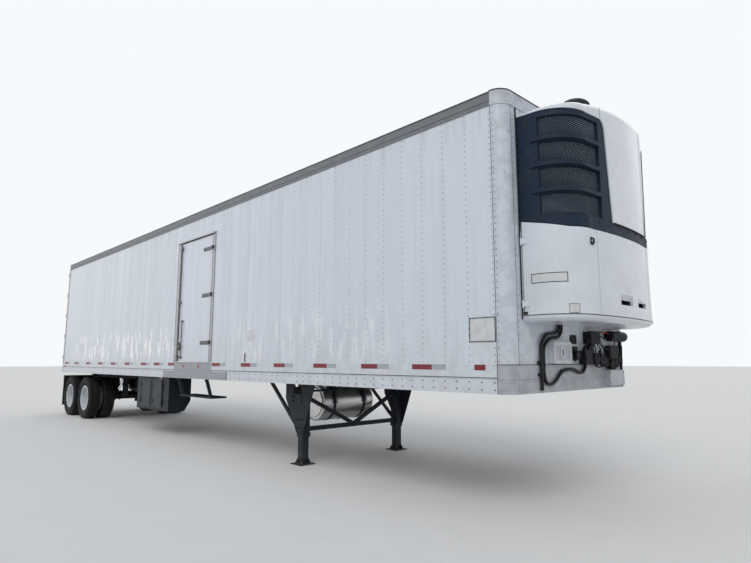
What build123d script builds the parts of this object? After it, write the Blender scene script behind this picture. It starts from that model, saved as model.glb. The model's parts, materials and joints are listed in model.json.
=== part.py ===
from build123d import *
import os
from math import cos, pi, radians, sin, tan

# A refrigerated van trailer, parked on its landing legs, with its nose-mounted cooling unit.
# Millimetres. +X forward, +Y to the road side, +Z up. The origin is on the ground at the
# middle of the overall length and width.

# Driving dimensions of the body
BODY_LENGTH = 14630
BODY_WIDTH = 2591
BODY_HEIGHT = 3055
RAIL_BOTTOM_Z = 1130
UNIT_DEPTH = 600
DOCK_BUMPER_DEPTH = 90

OVERALL_LENGTH = BODY_LENGTH + UNIT_DEPTH + DOCK_BUMPER_DEPTH
X_FRONT = OVERALL_LENGTH / 2 - UNIT_DEPTH
X_REAR = X_FRONT - BODY_LENGTH
HALF_WIDTH = BODY_WIDTH / 2
ROOF_Z = RAIL_BOTTOM_Z + BODY_HEIGHT

# Shell
RAIL_WALL = 8
SKIN_HALF = HALF_WIDTH - RAIL_WALL
SIDE_WALL = 64
INNER_HALF = SKIN_HALF - SIDE_WALL
FRONT_WALL = 100
CORNER_RADIUS = 150
FRONT_SKIN_X = X_FRONT - RAIL_WALL
CORNER_LENGTH = 155
BOTTOM_RAIL_HEIGHT = 279
RAIL_TOP_Z = RAIL_BOTTOM_Z + BOTTOM_RAIL_HEIGHT
RAIL_JOINT = 2
GROOVE_Z = 129
GROOVE_HEIGHT = 12
GROOVE_DEPTH = 5
RAIL_FLANGE = 70
TOP_RAIL_HEIGHT = 160
TOP_RAIL_CAP = 12
ROOF_THICKNESS = 75

# Floor
CROSSMEMBER_HEIGHT = 102
CROSSMEMBER_WIDTH = 57
CROSSMEMBER_WEB = 5
CROSSMEMBER_PITCH = 305
FLOOR_BOTTOM_Z = RAIL_BOTTOM_Z + RAIL_WALL + CROSSMEMBER_HEIGHT
FLOOR_DECK = 132
TBAR_HEIGHT = 32
TBAR_PITCH = 58
TBAR_HEAD = 38
FLOOR_Z = FLOOR_BOTTOM_Z + FLOOR_DECK + TBAR_HEIGHT

# Rear end
REAR_FRAME_DEPTH = 80
POST_WIDTH = 70
HEADER_HEIGHT = 150
REAR_DOOR_THICKNESS = 75
DOOR_GAP = 6
DOOR_MEETING_GAP = 14

REAR_HINGE_X = X_REAR - 48
REAR_HINGE_Y = HALF_WIDTH - 8
REAR_HINGE_RADIUS = 14
REAR_HINGE_HEIGHT = 70
REAR_HINGE_COUNT = 5
REAR_HINGE_MARGIN = 150

# Side door, measured back from the front wall
SIDE_FRAME_FRONT = 5870
SIDE_FRAME_REAR = 7340
SIDE_FRAME_TOP_Z = ROOF_Z - 485
SIDE_DOOR_FRONT = 5960
SIDE_DOOR_REAR = 7215
SIDE_DOOR_TOP_MARGIN = 55
SIDE_DOOR_THICKNESS = 60

SIDE_HINGE_X = X_FRONT - SIDE_DOOR_FRONT + 12
SIDE_HINGE_Y = -HALF_WIDTH - 22
SIDE_HINGE_RADIUS = 11
SIDE_HINGE_HEIGHT = 64
SIDE_HINGE_ROWS = (350, (SIDE_FRAME_TOP_Z - FLOOR_Z) / 2 + 32, SIDE_FRAME_TOP_Z - FLOOR_Z - 286)

# Running gear, placed forward from the rear end
TYRE_RADIUS = 511
TYRE_WIDTH = 278
TYRE_SIDES = 36
RIM_RADIUS = 288
RIM_HALF = 105
RIM_LIP = 18
RIM_WALL = 8
DUAL_SPACING = 343
DUAL_CENTRE_Y = HALF_WIDTH - 311.5
REAR_AXLE_SETBACK = 806
AXLE_SPREAD = 1246
AXLES = (("front", X_REAR + REAR_AXLE_SETBACK + AXLE_SPREAD), ("rear", X_REAR + REAR_AXLE_SETBACK))
AXLE_RADIUS = 63.5
SPINDLE_RADIUS = 45
RUNNING_CLEARANCE = 0.3
SLIDER_RAIL_Y = DUAL_CENTRE_Y - 524
SLIDER_RAIL_HALF = 40
SLIDER_RAIL_HEIGHT = 150
SLIDER_RAIL_WALL = 10
SLIDER_FRONT_X = AXLES[0][1] + 1078
SLIDER_REAR_X = X_REAR + 180
MUD_FLAP_X = X_REAR + 215
MUD_FLAP_WIDTH = 610
MUD_FLAP_TOP_Z = 992
MUD_FLAP_BOTTOM_Z = 240
GUARD_HALF = HALF_WIDTH - 145.5
GUARD_BOTTOM_Z = 450
GUARD_SIZE = 100

# Landing gear
LEG_SETBACK = 3680
LEG_X = X_FRONT - LEG_SETBACK
LEG_Y = HALF_WIDTH - 345.5
LEG_TUBE = 128
LEG_INNER = 108
LEG_CLEARANCE = 0.4
LEG_TUBE_BOTTOM_Z = 374
WING_FRONT = 340
WING_REAR = 350
WING_THICKNESS = 8
STAY_REACH = 850
STAY_DEPTH = 60
CROSS_TUBE_Z = 480
CROSS_TUBE = 60
FOOT_SIZE = 254
FOOT_THICKNESS = 12
CRANK_Z = 980

# Coupler
KINGPIN_SETBACK = 914
KINGPIN_NECK_RADIUS = 25.4
KINGPIN_HEAD_RADIUS = 35.7
COUPLER_THICKNESS = 10
COUPLER_LENGTH = 1550

HINGE_PIN = 6
HINGE_PLAY = 0.5

NODES = {}


def block(x0, x1, y0, y1, z0, z1):
    """A box between two corners."""
    centre = Pos((x0 + x1) / 2, (y0 + y1) / 2, (z0 + z1) / 2)
    return centre * Box(abs(x1 - x0), abs(y1 - y0), abs(z1 - z0))


def along_x(points, x0, x1):
    """A constant section across the body, given as (y, z), run from x0 to x1."""
    outline = Polyline(*[(x0, y, z) for y, z in points], close=True)
    return extrude(make_face(outline), amount=x1 - x0, dir=(1, 0, 0))


def along_y(points, y0, y1):
    """A constant section seen from the side, given as (x, z), run from y0 to y1."""
    outline = Polyline(*[(x, y0, z) for x, z in points], close=True)
    return extrude(make_face(outline), amount=y1 - y0, dir=(0, 1, 0))


def along_z(points, z0, z1):
    """A constant section seen from above, given as (x, y), run from z0 to z1."""
    outline = Polyline(*[(x, y, z0) for x, y in points], close=True)
    return extrude(make_face(outline), amount=z1 - z0, dir=(0, 0, 1))


def rod(start, end, radius):
    """A round bar between two points."""
    axis = Vector(*end) - Vector(*start)
    plane = Plane(origin=start, z_dir=axis.normalized())
    return extrude(plane * Circle(radius), amount=axis.length)


def bar(start, end, width, depth, side=(0, 1, 0)):
    """A rectangular bar between two points; its width lies along the side direction."""
    axis = Vector(*end) - Vector(*start)
    plane = Plane(origin=start, x_dir=side, z_dir=axis.normalized())
    return extrude(plane * Rectangle(width, depth), amount=axis.length)


def group(shapes):
    """Several separate solids as one node."""
    solids = []
    for shape in shapes:
        solids.extend(shape.solids())
    return Compound(children=solids)


def across(shape):
    """The shape's mirror image across the middle of the trailer."""
    return mirror(shape, about=Plane.XZ)


def both_sides(shape):
    """The shape and its mirror image across the middle of the trailer."""
    return [shape, across(shape)]


def knuckle(x, y, z, radius, height):
    """The moving barrel of a hinge, bored for its pin."""
    return Pos(x, y, z) * (Cylinder(radius, height) - Cylinder(HINGE_PIN + RUNNING_CLEARANCE, height))


def hinge_lugs(x, y, z, radius, height, root):
    """The fixed half of a hinge: a lug over and under the barrel, and the pin through it.

    root is the (x, y) corner pair of the face that the lugs stand on."""
    lug_height = 12
    low = z - height / 2 - HINGE_PLAY
    high = z + height / 2 + HINGE_PLAY
    away = Vector(x - (root[0][0] + root[1][0]) / 2, y - (root[0][1] + root[1][1]) / 2)
    side = Vector(-away.Y, away.X).normalized() * radius
    shape = rod((x, y, low - lug_height), (x, y, high + lug_height), HINGE_PIN)
    for z0, z1 in ((low - lug_height, low), (high, high + lug_height)):
        corners = [root[0], (x + side.X, y + side.Y), (x - side.X, y - side.Y), root[1]]
        if (Vector(*root[0]) - Vector(*root[1])).dot(side) < 0:
            corners = [root[1], corners[1], corners[2], root[0]]
        shape += along_z(corners, z0, z1)
        shape += rod((x, y, z0), (x, y, z1), radius)
    return shape


def nose_face(inset_x, inset_y, z):
    """Plan of the body's nose, back to the corner seams, moved in from its outside."""
    radius = max(CORNER_RADIUS - max(inset_x, inset_y), 5)
    front = X_FRONT - inset_x
    side = HALF_WIDTH - inset_y
    back = X_FRONT - CORNER_LENGTH
    corner = front - radius
    diagonal = radius * (1 - cos(radians(45)))
    lines = [
        Line((back, -side, z), (corner, -side, z)),
        ThreePointArc((corner, -side, z), (front - diagonal, -side + diagonal, z), (front, -side + radius, z)),
        Line((front, -side + radius, z), (front, side - radius, z)),
        ThreePointArc((front, side - radius, z), (front - diagonal, side - diagonal, z), (corner, side, z)),
        Line((corner, side, z), (back, side, z)),
        Line((back, side, z), (back, -side, z)),
    ]
    return make_face(lines)


def nose_solid(inset, z0, z1):
    """The whole nose from the seams forward, moved in from its outside."""
    return extrude(nose_face(inset, inset, z0), amount=z1 - z0, dir=(0, 0, 1))


def nose_band(outer, inner, z0, z1):
    """A skin that follows the nose from seam to seam, between two insets."""
    return nose_solid(outer, z0, z1) - nose_solid(inner, z0, z1)


def nose_inside(z0, z1):
    """The square end of the load space between the seams and the front wall."""
    return block(X_FRONT - CORNER_LENGTH - 1, X_FRONT - FRONT_WALL, -INNER_HALF, INNER_HALF, z0, z1)


def side_walls():
    """The two insulated walls; the curb-side one is cut for its door."""
    x0 = X_REAR + REAR_FRAME_DEPTH
    x1 = X_FRONT - CORNER_LENGTH
    z0 = FLOOR_BOTTOM_Z
    z1 = ROOF_Z - TOP_RAIL_CAP
    road = block(x0, x1, INNER_HALF, SKIN_HALF, z0, z1)
    curb = block(x0, x1, -SKIN_HALF, -INNER_HALF, z0, z1)
    curb -= block(
        X_FRONT - SIDE_FRAME_REAR, X_FRONT - SIDE_FRAME_FRONT,
        -SKIN_HALF - 1, -INNER_HALF + 1, RAIL_TOP_Z, SIDE_FRAME_TOP_Z,
    )
    NODES["side_wall_road"] = road
    NODES["side_wall_curb"] = curb


def front_wall():
    """The front wall with its round corners."""
    z0 = FLOOR_BOTTOM_Z
    z1 = ROOF_Z - TOP_RAIL_CAP
    NODES["front_wall"] = nose_solid(RAIL_WALL, z0, z1) - nose_inside(z0, z1)


def roof():
    """The roof panel between the walls."""
    NODES["roof"] = block(
        X_REAR + REAR_FRAME_DEPTH, X_FRONT - FRONT_WALL, -INNER_HALF, INNER_HALF,
        ROOF_Z - TOP_RAIL_CAP - ROOF_THICKNESS, ROOF_Z - TOP_RAIL_CAP / 2,
    )


def top_rails():
    """The edge rails of the roof, along both sides and round the nose."""
    x0 = X_REAR + REAR_FRAME_DEPTH
    x1 = X_FRONT - CORNER_LENGTH
    z0 = ROOF_Z - TOP_RAIL_HEIGHT
    section = [
        (SKIN_HALF, z0), (HALF_WIDTH, z0), (HALF_WIDTH, ROOF_Z - TOP_RAIL_CAP),
        (HALF_WIDTH - TOP_RAIL_CAP, ROOF_Z), (INNER_HALF, ROOF_Z),
        (INNER_HALF, ROOF_Z - TOP_RAIL_CAP), (SKIN_HALF, ROOF_Z - TOP_RAIL_CAP),
    ]
    side = along_x(section, x0, x1 - RAIL_JOINT)
    skirt = nose_band(0, RAIL_WALL, z0, ROOF_Z)
    lid_z = ROOF_Z - TOP_RAIL_CAP
    lid = nose_solid(0, lid_z, ROOF_Z) - nose_inside(lid_z, ROOF_Z)
    NODES["top_rails"] = group(both_sides(side) + [skirt + lid])


def bottom_rails():
    """The grooved rails below the walls, with the flange that carries the floor."""
    x0 = X_REAR + REAR_FRAME_DEPTH
    x1 = X_FRONT - CORNER_LENGTH
    z0 = RAIL_BOTTOM_Z
    groove = z0 + GROOVE_Z
    inside = HALF_WIDTH - RAIL_FLANGE
    deep = HALF_WIDTH - GROOVE_DEPTH
    section = [
        (inside, z0), (HALF_WIDTH, z0), (HALF_WIDTH, groove), (deep, groove + 2),
        (deep, groove + GROOVE_HEIGHT - 2), (HALF_WIDTH, groove + GROOVE_HEIGHT),
        (HALF_WIDTH, RAIL_TOP_Z), (SKIN_HALF, RAIL_TOP_Z),
        (SKIN_HALF, z0 + RAIL_WALL), (inside, z0 + RAIL_WALL),
    ]
    side = along_x(section, x0, x1 - RAIL_JOINT)
    skirt = nose_band(0, RAIL_WALL, z0, RAIL_TOP_Z)
    skirt -= nose_band(0, GROOVE_DEPTH, groove, groove + GROOVE_HEIGHT)
    flange = nose_band(0, RAIL_FLANGE, z0, z0 + RAIL_WALL)
    NODES["bottom_rails"] = group(both_sides(side) + [skirt + flange])


def floor():
    """The insulated floor with its T-shaped air channels, and the crossmembers below it."""
    x0 = X_REAR + REAR_FRAME_DEPTH
    x1 = X_FRONT - FRONT_WALL
    deck_top = FLOOR_BOTTOM_Z + FLOOR_DECK
    half_stem = 4
    head = 6
    points = [(-INNER_HALF, FLOOR_BOTTOM_Z), (INNER_HALF, FLOOR_BOTTOM_Z), (INNER_HALF, deck_top)]
    count = int(2 * INNER_HALF / TBAR_PITCH) - 1
    start = (count - 1) / 2 * TBAR_PITCH
    for i in range(count):
        y = start - i * TBAR_PITCH
        points += [
            (y + half_stem, deck_top), (y + half_stem, FLOOR_Z - head), (y + TBAR_HEAD / 2, FLOOR_Z - head),
            (y + TBAR_HEAD / 2, FLOOR_Z), (y - TBAR_HEAD / 2, FLOOR_Z), (y - TBAR_HEAD / 2, FLOOR_Z - head),
            (y - half_stem, FLOOR_Z - head), (y - half_stem, deck_top),
        ]
    points.append((-INNER_HALF, deck_top))
    NODES["floor"] = along_x(points, x0, x1)

    half = CROSSMEMBER_WIDTH / 2
    web = CROSSMEMBER_WEB / 2
    flange = 6
    z0 = RAIL_BOTTOM_Z + RAIL_WALL
    z1 = FLOOR_BOTTOM_Z
    beams = []
    count = int((x1 - x0 - CROSSMEMBER_PITCH) / CROSSMEMBER_PITCH)
    for i in range(count):
        x = x1 - CROSSMEMBER_PITCH * (i + 0.5)
        section = [
            (x - half, z0), (x + half, z0), (x + half, z0 + flange), (x + web, z0 + flange),
            (x + web, z1 - flange), (x + half, z1 - flange), (x + half, z1), (x - half, z1),
            (x - half, z1 - flange), (x - web, z1 - flange), (x - web, z0 + flange), (x - half, z0 + flange),
        ]
        beams.append(along_y(section, -SKIN_HALF, SKIN_HALF))
    NODES["crossmembers"] = group(beams)


def rear_hinge_heights():
    """Where the rear doors' hinges stand, from the lowest up."""
    low = FLOOR_Z + REAR_HINGE_MARGIN
    high = ROOF_Z - HEADER_HEIGHT - DOOR_GAP - REAR_HINGE_MARGIN
    return [low + (high - low) * i / (REAR_HINGE_COUNT - 1) for i in range(REAR_HINGE_COUNT)]


LOCK_ROD_RADIUS = 12
LOCK_ROD_OUT = 20
LOCK_ROD_REACH = 34
LOCK_ROD_ROWS = (260, 760)
KEEPER_GAP = 20
KEEPER_WALL = 10
BUMPER_Y = (560, 1060)
BUMPER_Z = (RAIL_BOTTOM_Z + 30, RAIL_BOTTOM_Z + 150)


def rear_frame():
    """Corner posts, header and sill round the rear doorway, with keepers for the lock rods, and the dock bumpers."""
    x0 = X_REAR
    x1 = X_REAR + REAR_FRAME_DEPTH
    sill_top = FLOOR_Z - DOOR_GAP
    header_bottom = ROOF_Z - HEADER_HEIGHT
    sill = block(x0, x1, -HALF_WIDTH, HALF_WIDTH, RAIL_BOTTOM_Z, sill_top)
    header = block(x0, x1, -HALF_WIDTH, HALF_WIDTH, header_bottom, ROOF_Z)
    for row in LOCK_ROD_ROWS:
        for y in (row, -row):
            for start in (y - KEEPER_GAP - KEEPER_WALL, y + KEEPER_GAP):
                sill += block(x0 - 32, x0, start, start + KEEPER_WALL, sill_top - 60, sill_top - 8)
                header += block(x0 - 32, x0, start, start + KEEPER_WALL, header_bottom + 8, header_bottom + 60)
    post = block(x0, x1, HALF_WIDTH - POST_WIDTH, HALF_WIDTH, sill_top, header_bottom)
    for z in rear_hinge_heights():
        post += hinge_lugs(
            REAR_HINGE_X, REAR_HINGE_Y, z, REAR_HINGE_RADIUS, REAR_HINGE_HEIGHT,
            ((X_REAR, HALF_WIDTH - 2), (X_REAR, HALF_WIDTH - POST_WIDTH + 10)))
    NODES["rear_frame"] = group([sill, header] + both_sides(post))
    bumper = block(x0 - DOCK_BUMPER_DEPTH, x0, *BUMPER_Y, *BUMPER_Z)
    bumper = chamfer(bumper.edges().filter_by(Axis.Y).group_by(Axis.X)[0], 22)
    NODES["dock_bumpers"] = group(both_sides(bumper))


def rear_doors():
    """Two swing doors, each with strap hinges, two lock rods in their guides, and a handle on each rod."""
    outer = HALF_WIDTH - POST_WIDTH - DOOR_GAP
    inner = DOOR_MEETING_GAP / 2
    z0 = FLOOR_Z
    z1 = ROOF_Z - HEADER_HEIGHT - DOOR_GAP
    leaf = block(X_REAR, X_REAR + REAR_DOOR_THICKNESS, inner, outer, z0, z1)
    straps = []
    half = REAR_HINGE_HEIGHT / 2
    for z in rear_hinge_heights():
        strap = block(X_REAR - 10, X_REAR, outer - 330, outer, z - half, z + half)
        strap += along_z(
            [(X_REAR, outer - 40), (X_REAR - 10, outer - 40), (REAR_HINGE_X + 32, REAR_HINGE_Y - 72),
             (REAR_HINGE_X - 6, REAR_HINGE_Y - 10), (REAR_HINGE_X + 4, REAR_HINGE_Y - 4),
             (REAR_HINGE_X + 40, REAR_HINGE_Y - 66), (X_REAR, outer - 2)], z - half, z + half)
        bore = HINGE_PIN + RUNNING_CLEARANCE
        strap -= rod((REAR_HINGE_X, REAR_HINGE_Y, z - half), (REAR_HINGE_X, REAR_HINGE_Y, z + half), bore)
        straps.append(strap + knuckle(REAR_HINGE_X, REAR_HINGE_Y, z, REAR_HINGE_RADIUS, REAR_HINGE_HEIGHT))
    rod_x = X_REAR - LOCK_ROD_OUT
    guides = [z0 + 60 + (z1 - z0 - 120) * i / 4 for i in range(5)]
    rods = []
    # Each rod with its handle's height over the floor and which way the handle lies
    for y, handle, way in ((LOCK_ROD_ROWS[0], 230, 1), (LOCK_ROD_ROWS[1], 330, -1)):
        shape = rod((rod_x, y, z0 - LOCK_ROD_REACH), (rod_x, y, z1 + LOCK_ROD_REACH), LOCK_ROD_RADIUS)
        for z in guides:
            shape += block(X_REAR - 33, X_REAR, y - 24, y + 24, z - 20, z + 20)
        grip_z = z0 + handle
        shape += block(rod_x - 10, rod_x + 8, y, y + way * 420, grip_z - 14, grip_z + 14)
        shape += block(X_REAR - 28, X_REAR, y + way * 300, y + way * 340, grip_z - 32, grip_z + 32)
        rods.append(shape)
    for name, sign in (("road", 1), ("curb", -1)):
        hardware = straps + rods
        NODES["rear_door_" + name] = leaf if sign > 0 else across(leaf)
        NODES["rear_hardware_" + name] = group(hardware if sign > 0 else [across(s) for s in hardware])


# Lamps on the rear frame: (distance from the middle, height, radius)
HEADER_LAMP_Z = ROOF_Z - 75
SILL_LAMP_Z = RAIL_BOTTOM_Z + 210
REAR_LAMPS = (
    (0, HEADER_LAMP_Z, 26), (150, HEADER_LAMP_Z, 26), (HALF_WIDTH - 120, HEADER_LAMP_Z, 26),
    (940, SILL_LAMP_Z, 52), (1070, SILL_LAMP_Z, 52), (1190, SILL_LAMP_Z, 52),
)


def lamps():
    """Round marker and tail lamps on the rear header and sill."""
    shapes = []
    for y, z, radius in REAR_LAMPS:
        lamp = rod((X_REAR, y, z), (X_REAR - 8, y, z), radius)
        lamp += rod((X_REAR - 8, y, z), (X_REAR - 16, y, z), radius - 8)
        shapes += both_sides(lamp) if y else [lamp]
    NODES["lamps"] = group(shapes)


SIDE_HANDLE_Z = (RAIL_TOP_Z + 90, RAIL_TOP_Z + 760)
DRIP_CAP_DEPTH = 24


def side_door():
    """The curb-side door in its frame, hinged on its front edge, with its lock rod and handle bar."""
    x0 = X_FRONT - SIDE_FRAME_REAR
    x1 = X_FRONT - SIDE_FRAME_FRONT
    leaf_x0 = X_FRONT - SIDE_DOOR_REAR
    leaf_x1 = X_FRONT - SIDE_DOOR_FRONT
    leaf_z1 = SIDE_FRAME_TOP_Z - SIDE_DOOR_TOP_MARGIN
    frame = block(x0, x1, -HALF_WIDTH, -INNER_HALF, RAIL_TOP_Z, SIDE_FRAME_TOP_Z)
    frame -= block(
        leaf_x0 - DOOR_GAP, leaf_x1 + DOOR_GAP, -HALF_WIDTH - 1, -INNER_HALF + 1,
        RAIL_TOP_Z - 1, leaf_z1 + DOOR_GAP,
    )
    cap_y = -HALF_WIDTH - DRIP_CAP_DEPTH
    frame += along_x(
        [(-HALF_WIDTH, SIDE_FRAME_TOP_Z - 30), (cap_y, SIDE_FRAME_TOP_Z - 34), (cap_y, SIDE_FRAME_TOP_Z - 24),
         (-HALF_WIDTH, SIDE_FRAME_TOP_Z)], x0, x1)
    for height in SIDE_HINGE_ROWS:
        frame += hinge_lugs(
            SIDE_HINGE_X, SIDE_HINGE_Y, FLOOR_Z + height, SIDE_HINGE_RADIUS, SIDE_HINGE_HEIGHT,
            ((leaf_x1 + DOOR_GAP + 4, -HALF_WIDTH), (x1 - 10, -HALF_WIDTH)))
    NODES["side_door_frame"] = frame
    NODES["side_door"] = block(
        leaf_x0, leaf_x1, -HALF_WIDTH, -HALF_WIDTH + SIDE_DOOR_THICKNESS, RAIL_TOP_Z + DOOR_GAP, leaf_z1)
    straps = []
    for height in SIDE_HINGE_ROWS:
        z = FLOOR_Z + height
        half = SIDE_HINGE_HEIGHT / 2
        strap = block(leaf_x1 - 330, leaf_x1, -HALF_WIDTH - 8, -HALF_WIDTH, z - half, z + half)
        strap += along_z(
            [(leaf_x1, -HALF_WIDTH), (leaf_x1 - 30, -HALF_WIDTH - 8), (SIDE_HINGE_X - 8, SIDE_HINGE_Y - 7),
             (SIDE_HINGE_X, SIDE_HINGE_Y)], z - half, z + half)
        bore = HINGE_PIN + RUNNING_CLEARANCE
        strap -= rod((SIDE_HINGE_X, SIDE_HINGE_Y, z - half), (SIDE_HINGE_X, SIDE_HINGE_Y, z + half), bore)
        straps.append(strap + knuckle(SIDE_HINGE_X, SIDE_HINGE_Y, z, SIDE_HINGE_RADIUS, SIDE_HINGE_HEIGHT))
    rod_x = leaf_x0 + 60
    rod_y = -HALF_WIDTH - 18
    lock = rod((rod_x, rod_y, RAIL_TOP_Z + 30), (rod_x, rod_y, leaf_z1 - 20), LOCK_ROD_RADIUS)
    for share in (0.02, 0.5, 0.98):
        z = RAIL_TOP_Z + 60 + share * (leaf_z1 - RAIL_TOP_Z - 120)
        lock += block(rod_x - 40, rod_x + 40, -HALF_WIDTH - 31, -HALF_WIDTH, z - 24, z + 24)
    latch_z = RAIL_TOP_Z + 300
    lock += block(rod_x - 20, rod_x + 110, -HALF_WIDTH - 30, -HALF_WIDTH, latch_z - 22, latch_z + 22)
    lock += block(rod_x + 30, rod_x + 62, -HALF_WIDTH - 30, -HALF_WIDTH, latch_z - 75, latch_z + 75)
    grip_x = rod_x + 150
    grip = rod((grip_x, -HALF_WIDTH - 24, SIDE_HANDLE_Z[0]), (grip_x, -HALF_WIDTH - 24, SIDE_HANDLE_Z[1]), 9)
    for z in SIDE_HANDLE_Z:
        grip += block(grip_x - 14, grip_x + 14, -HALF_WIDTH - 34, -HALF_WIDTH, z - 16, z + 16)
    NODES["side_door_hardware"] = group(straps + [lock, grip])


def tyre_section(y, flat_radius):
    """A many-sided outline across the axle, with a flat side down; flat_radius reaches its flats."""
    corner = flat_radius / cos(pi / TYRE_SIDES)
    turns = [2 * pi * (k + 0.5) / TYRE_SIDES for k in range(TYRE_SIDES)]
    return make_face(Polyline(*[(corner * sin(t), y, -corner * cos(t)) for t in turns], close=True))


def tyre(centre_y):
    """One tyre, from bead to bead over the shoulders."""
    half = TYRE_WIDTH / 2
    bead = RIM_HALF - RUNNING_CLEARANCE
    # (distance from the tyre's middle, radius), up one side
    flank = ((bead, RIM_RADIUS + RIM_LIP), (half, RIM_RADIUS + 110), (half - 12, TYRE_RADIUS - 34),
             (half - 38, TYRE_RADIUS))
    profile = [(-a, r) for a, r in flank] + [(a, r) for a, r in reversed(flank)]
    solid = loft([tyre_section(centre_y + a, r) for a, r in profile], ruled=True)
    hole = extrude(tyre_section(centre_y - bead - 1, RIM_RADIUS), amount=2 * bead + 2, dir=(0, 1, 0))
    return solid - hole


HAND_HOLES = 5
HAND_HOLE_RADIUS = 32
HAND_HOLE_CIRCLE = 226


def wheel_core(sign):
    """The twin rims with their hand holes, the hub and the brake drum."""
    offset = DUAL_SPACING / 2
    outer_edge = offset + RIM_HALF + RIM_WALL
    inner_edge = offset - RIM_HALF - RIM_WALL
    inside = RIM_RADIUS - RIM_WALL
    barrel = RIM_RADIUS - RUNNING_CLEARANCE
    top = RIM_RADIUS + RIM_LIP
    # (distance outboard of the plane where the two discs meet, radius)
    rim = (
        (0, 110), (10, 110), (10, 180), (55, inside - 6), (outer_edge, inside - 6), (outer_edge, top),
        (outer_edge - RIM_WALL, top), (outer_edge - RIM_WALL, barrel), (inner_edge + RIM_WALL, barrel),
        (inner_edge + RIM_WALL, top), (inner_edge, top), (inner_edge, inside + 4), (42, inside), (0, 190),
    )
    bore = SPINDLE_RADIUS + RUNNING_CLEARANCE
    hub = ((-60, bore), (-60, 112), (20, 112), (20, 100), (150, 82), (178, 60), (178, 0), (150, 0), (150, bore))
    drum = ((-20, 105), (-20, 165), (-45, 222), (-255, 222), (-255, 205), (-52, 205), (-34, 150), (-34, 105))
    plane_y = sign * DUAL_CENTRE_Y

    def turned(points, side):
        outline = Polyline(*[(0, plane_y + side * a, r) for a, r in points], close=True)
        return revolve(make_face(outline), axis=Axis.Y)

    discs = turned(rim, sign) + turned(rim, -sign)
    for k in range(HAND_HOLES):
        turn = 2 * pi * k / HAND_HOLES
        x = HAND_HOLE_CIRCLE * sin(turn)
        z = HAND_HOLE_CIRCLE * cos(turn)
        discs -= rod((x, plane_y - sign * 90, z), (x, plane_y + sign * 90, z), HAND_HOLE_RADIUS)
    return discs + turned(hub, sign) + turned(drum, sign)


def wheels():
    """Four pairs of twin wheels, one pair on each end of two axles."""
    for axle, x in AXLES:
        for side, sign in (("curb", -1), ("road", 1)):
            place = Pos(x, 0, TYRE_RADIUS)
            name = axle + "_" + side
            pair = [tyre(sign * (DUAL_CENTRE_Y + k * DUAL_SPACING / 2)) for k in (-1, 1)]
            NODES["tyres_" + name] = group([place * t for t in pair])
            NODES["wheel_" + name] = place * wheel_core(sign)


ARM_TOP_Z = TYRE_RADIUS + 135
AIR_SPRING_RADIUS = 115
AIR_SPRING_BACK = 250
CHAMBER_RADIUS = 76
CHAMBER_Y = DUAL_CENTRE_Y - 397
AIR_TANK_RADIUS = 120
AIR_TANK_HALF = 330


def slider_frame():
    """The sliding frame that carries both axles, with its hangers and the arms of the mud flaps."""
    z1 = RAIL_BOTTOM_Z + RAIL_WALL
    z0 = z1 - SLIDER_RAIL_HEIGHT
    rail_in = SLIDER_RAIL_Y - SLIDER_RAIL_HALF
    rail_out = SLIDER_RAIL_Y + SLIDER_RAIL_HALF
    wall = SLIDER_RAIL_WALL
    channel = along_x(
        [(rail_in, z0), (rail_out, z0), (rail_out, z0 + wall), (rail_in + wall, z0 + wall),
         (rail_in + wall, z1 - wall), (rail_out, z1 - wall), (rail_out, z1), (rail_in, z1)],
        SLIDER_REAR_X, SLIDER_FRONT_X)
    frame = channel + across(channel)
    for x in (AXLES[1][1] - 426, AXLES[1][1] + 524, AXLES[0][1] + 128, SLIDER_FRONT_X - 120):
        frame += block(x - 40, x + 40, -rail_in - 5, rail_in + 5, z0 + 20, z1 - 20)
    for _, x in AXLES:
        hanger = along_y(
            [(x + 480, z0), (x + 620, z0), (x + 600, TYRE_RADIUS + 30), (x + 500, TYRE_RADIUS + 30)],
            SLIDER_RAIL_Y - 55, SLIDER_RAIL_Y + 55)
        frame += hanger
        frame += across(hanger)
    flap_arm = block(
        MUD_FLAP_X - 25, MUD_FLAP_X + 25, rail_out, HALF_WIDTH - 5, MUD_FLAP_TOP_Z, MUD_FLAP_TOP_Z + 50)
    frame += flap_arm
    frame += across(flap_arm)
    NODES["slider_frame"] = frame


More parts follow.
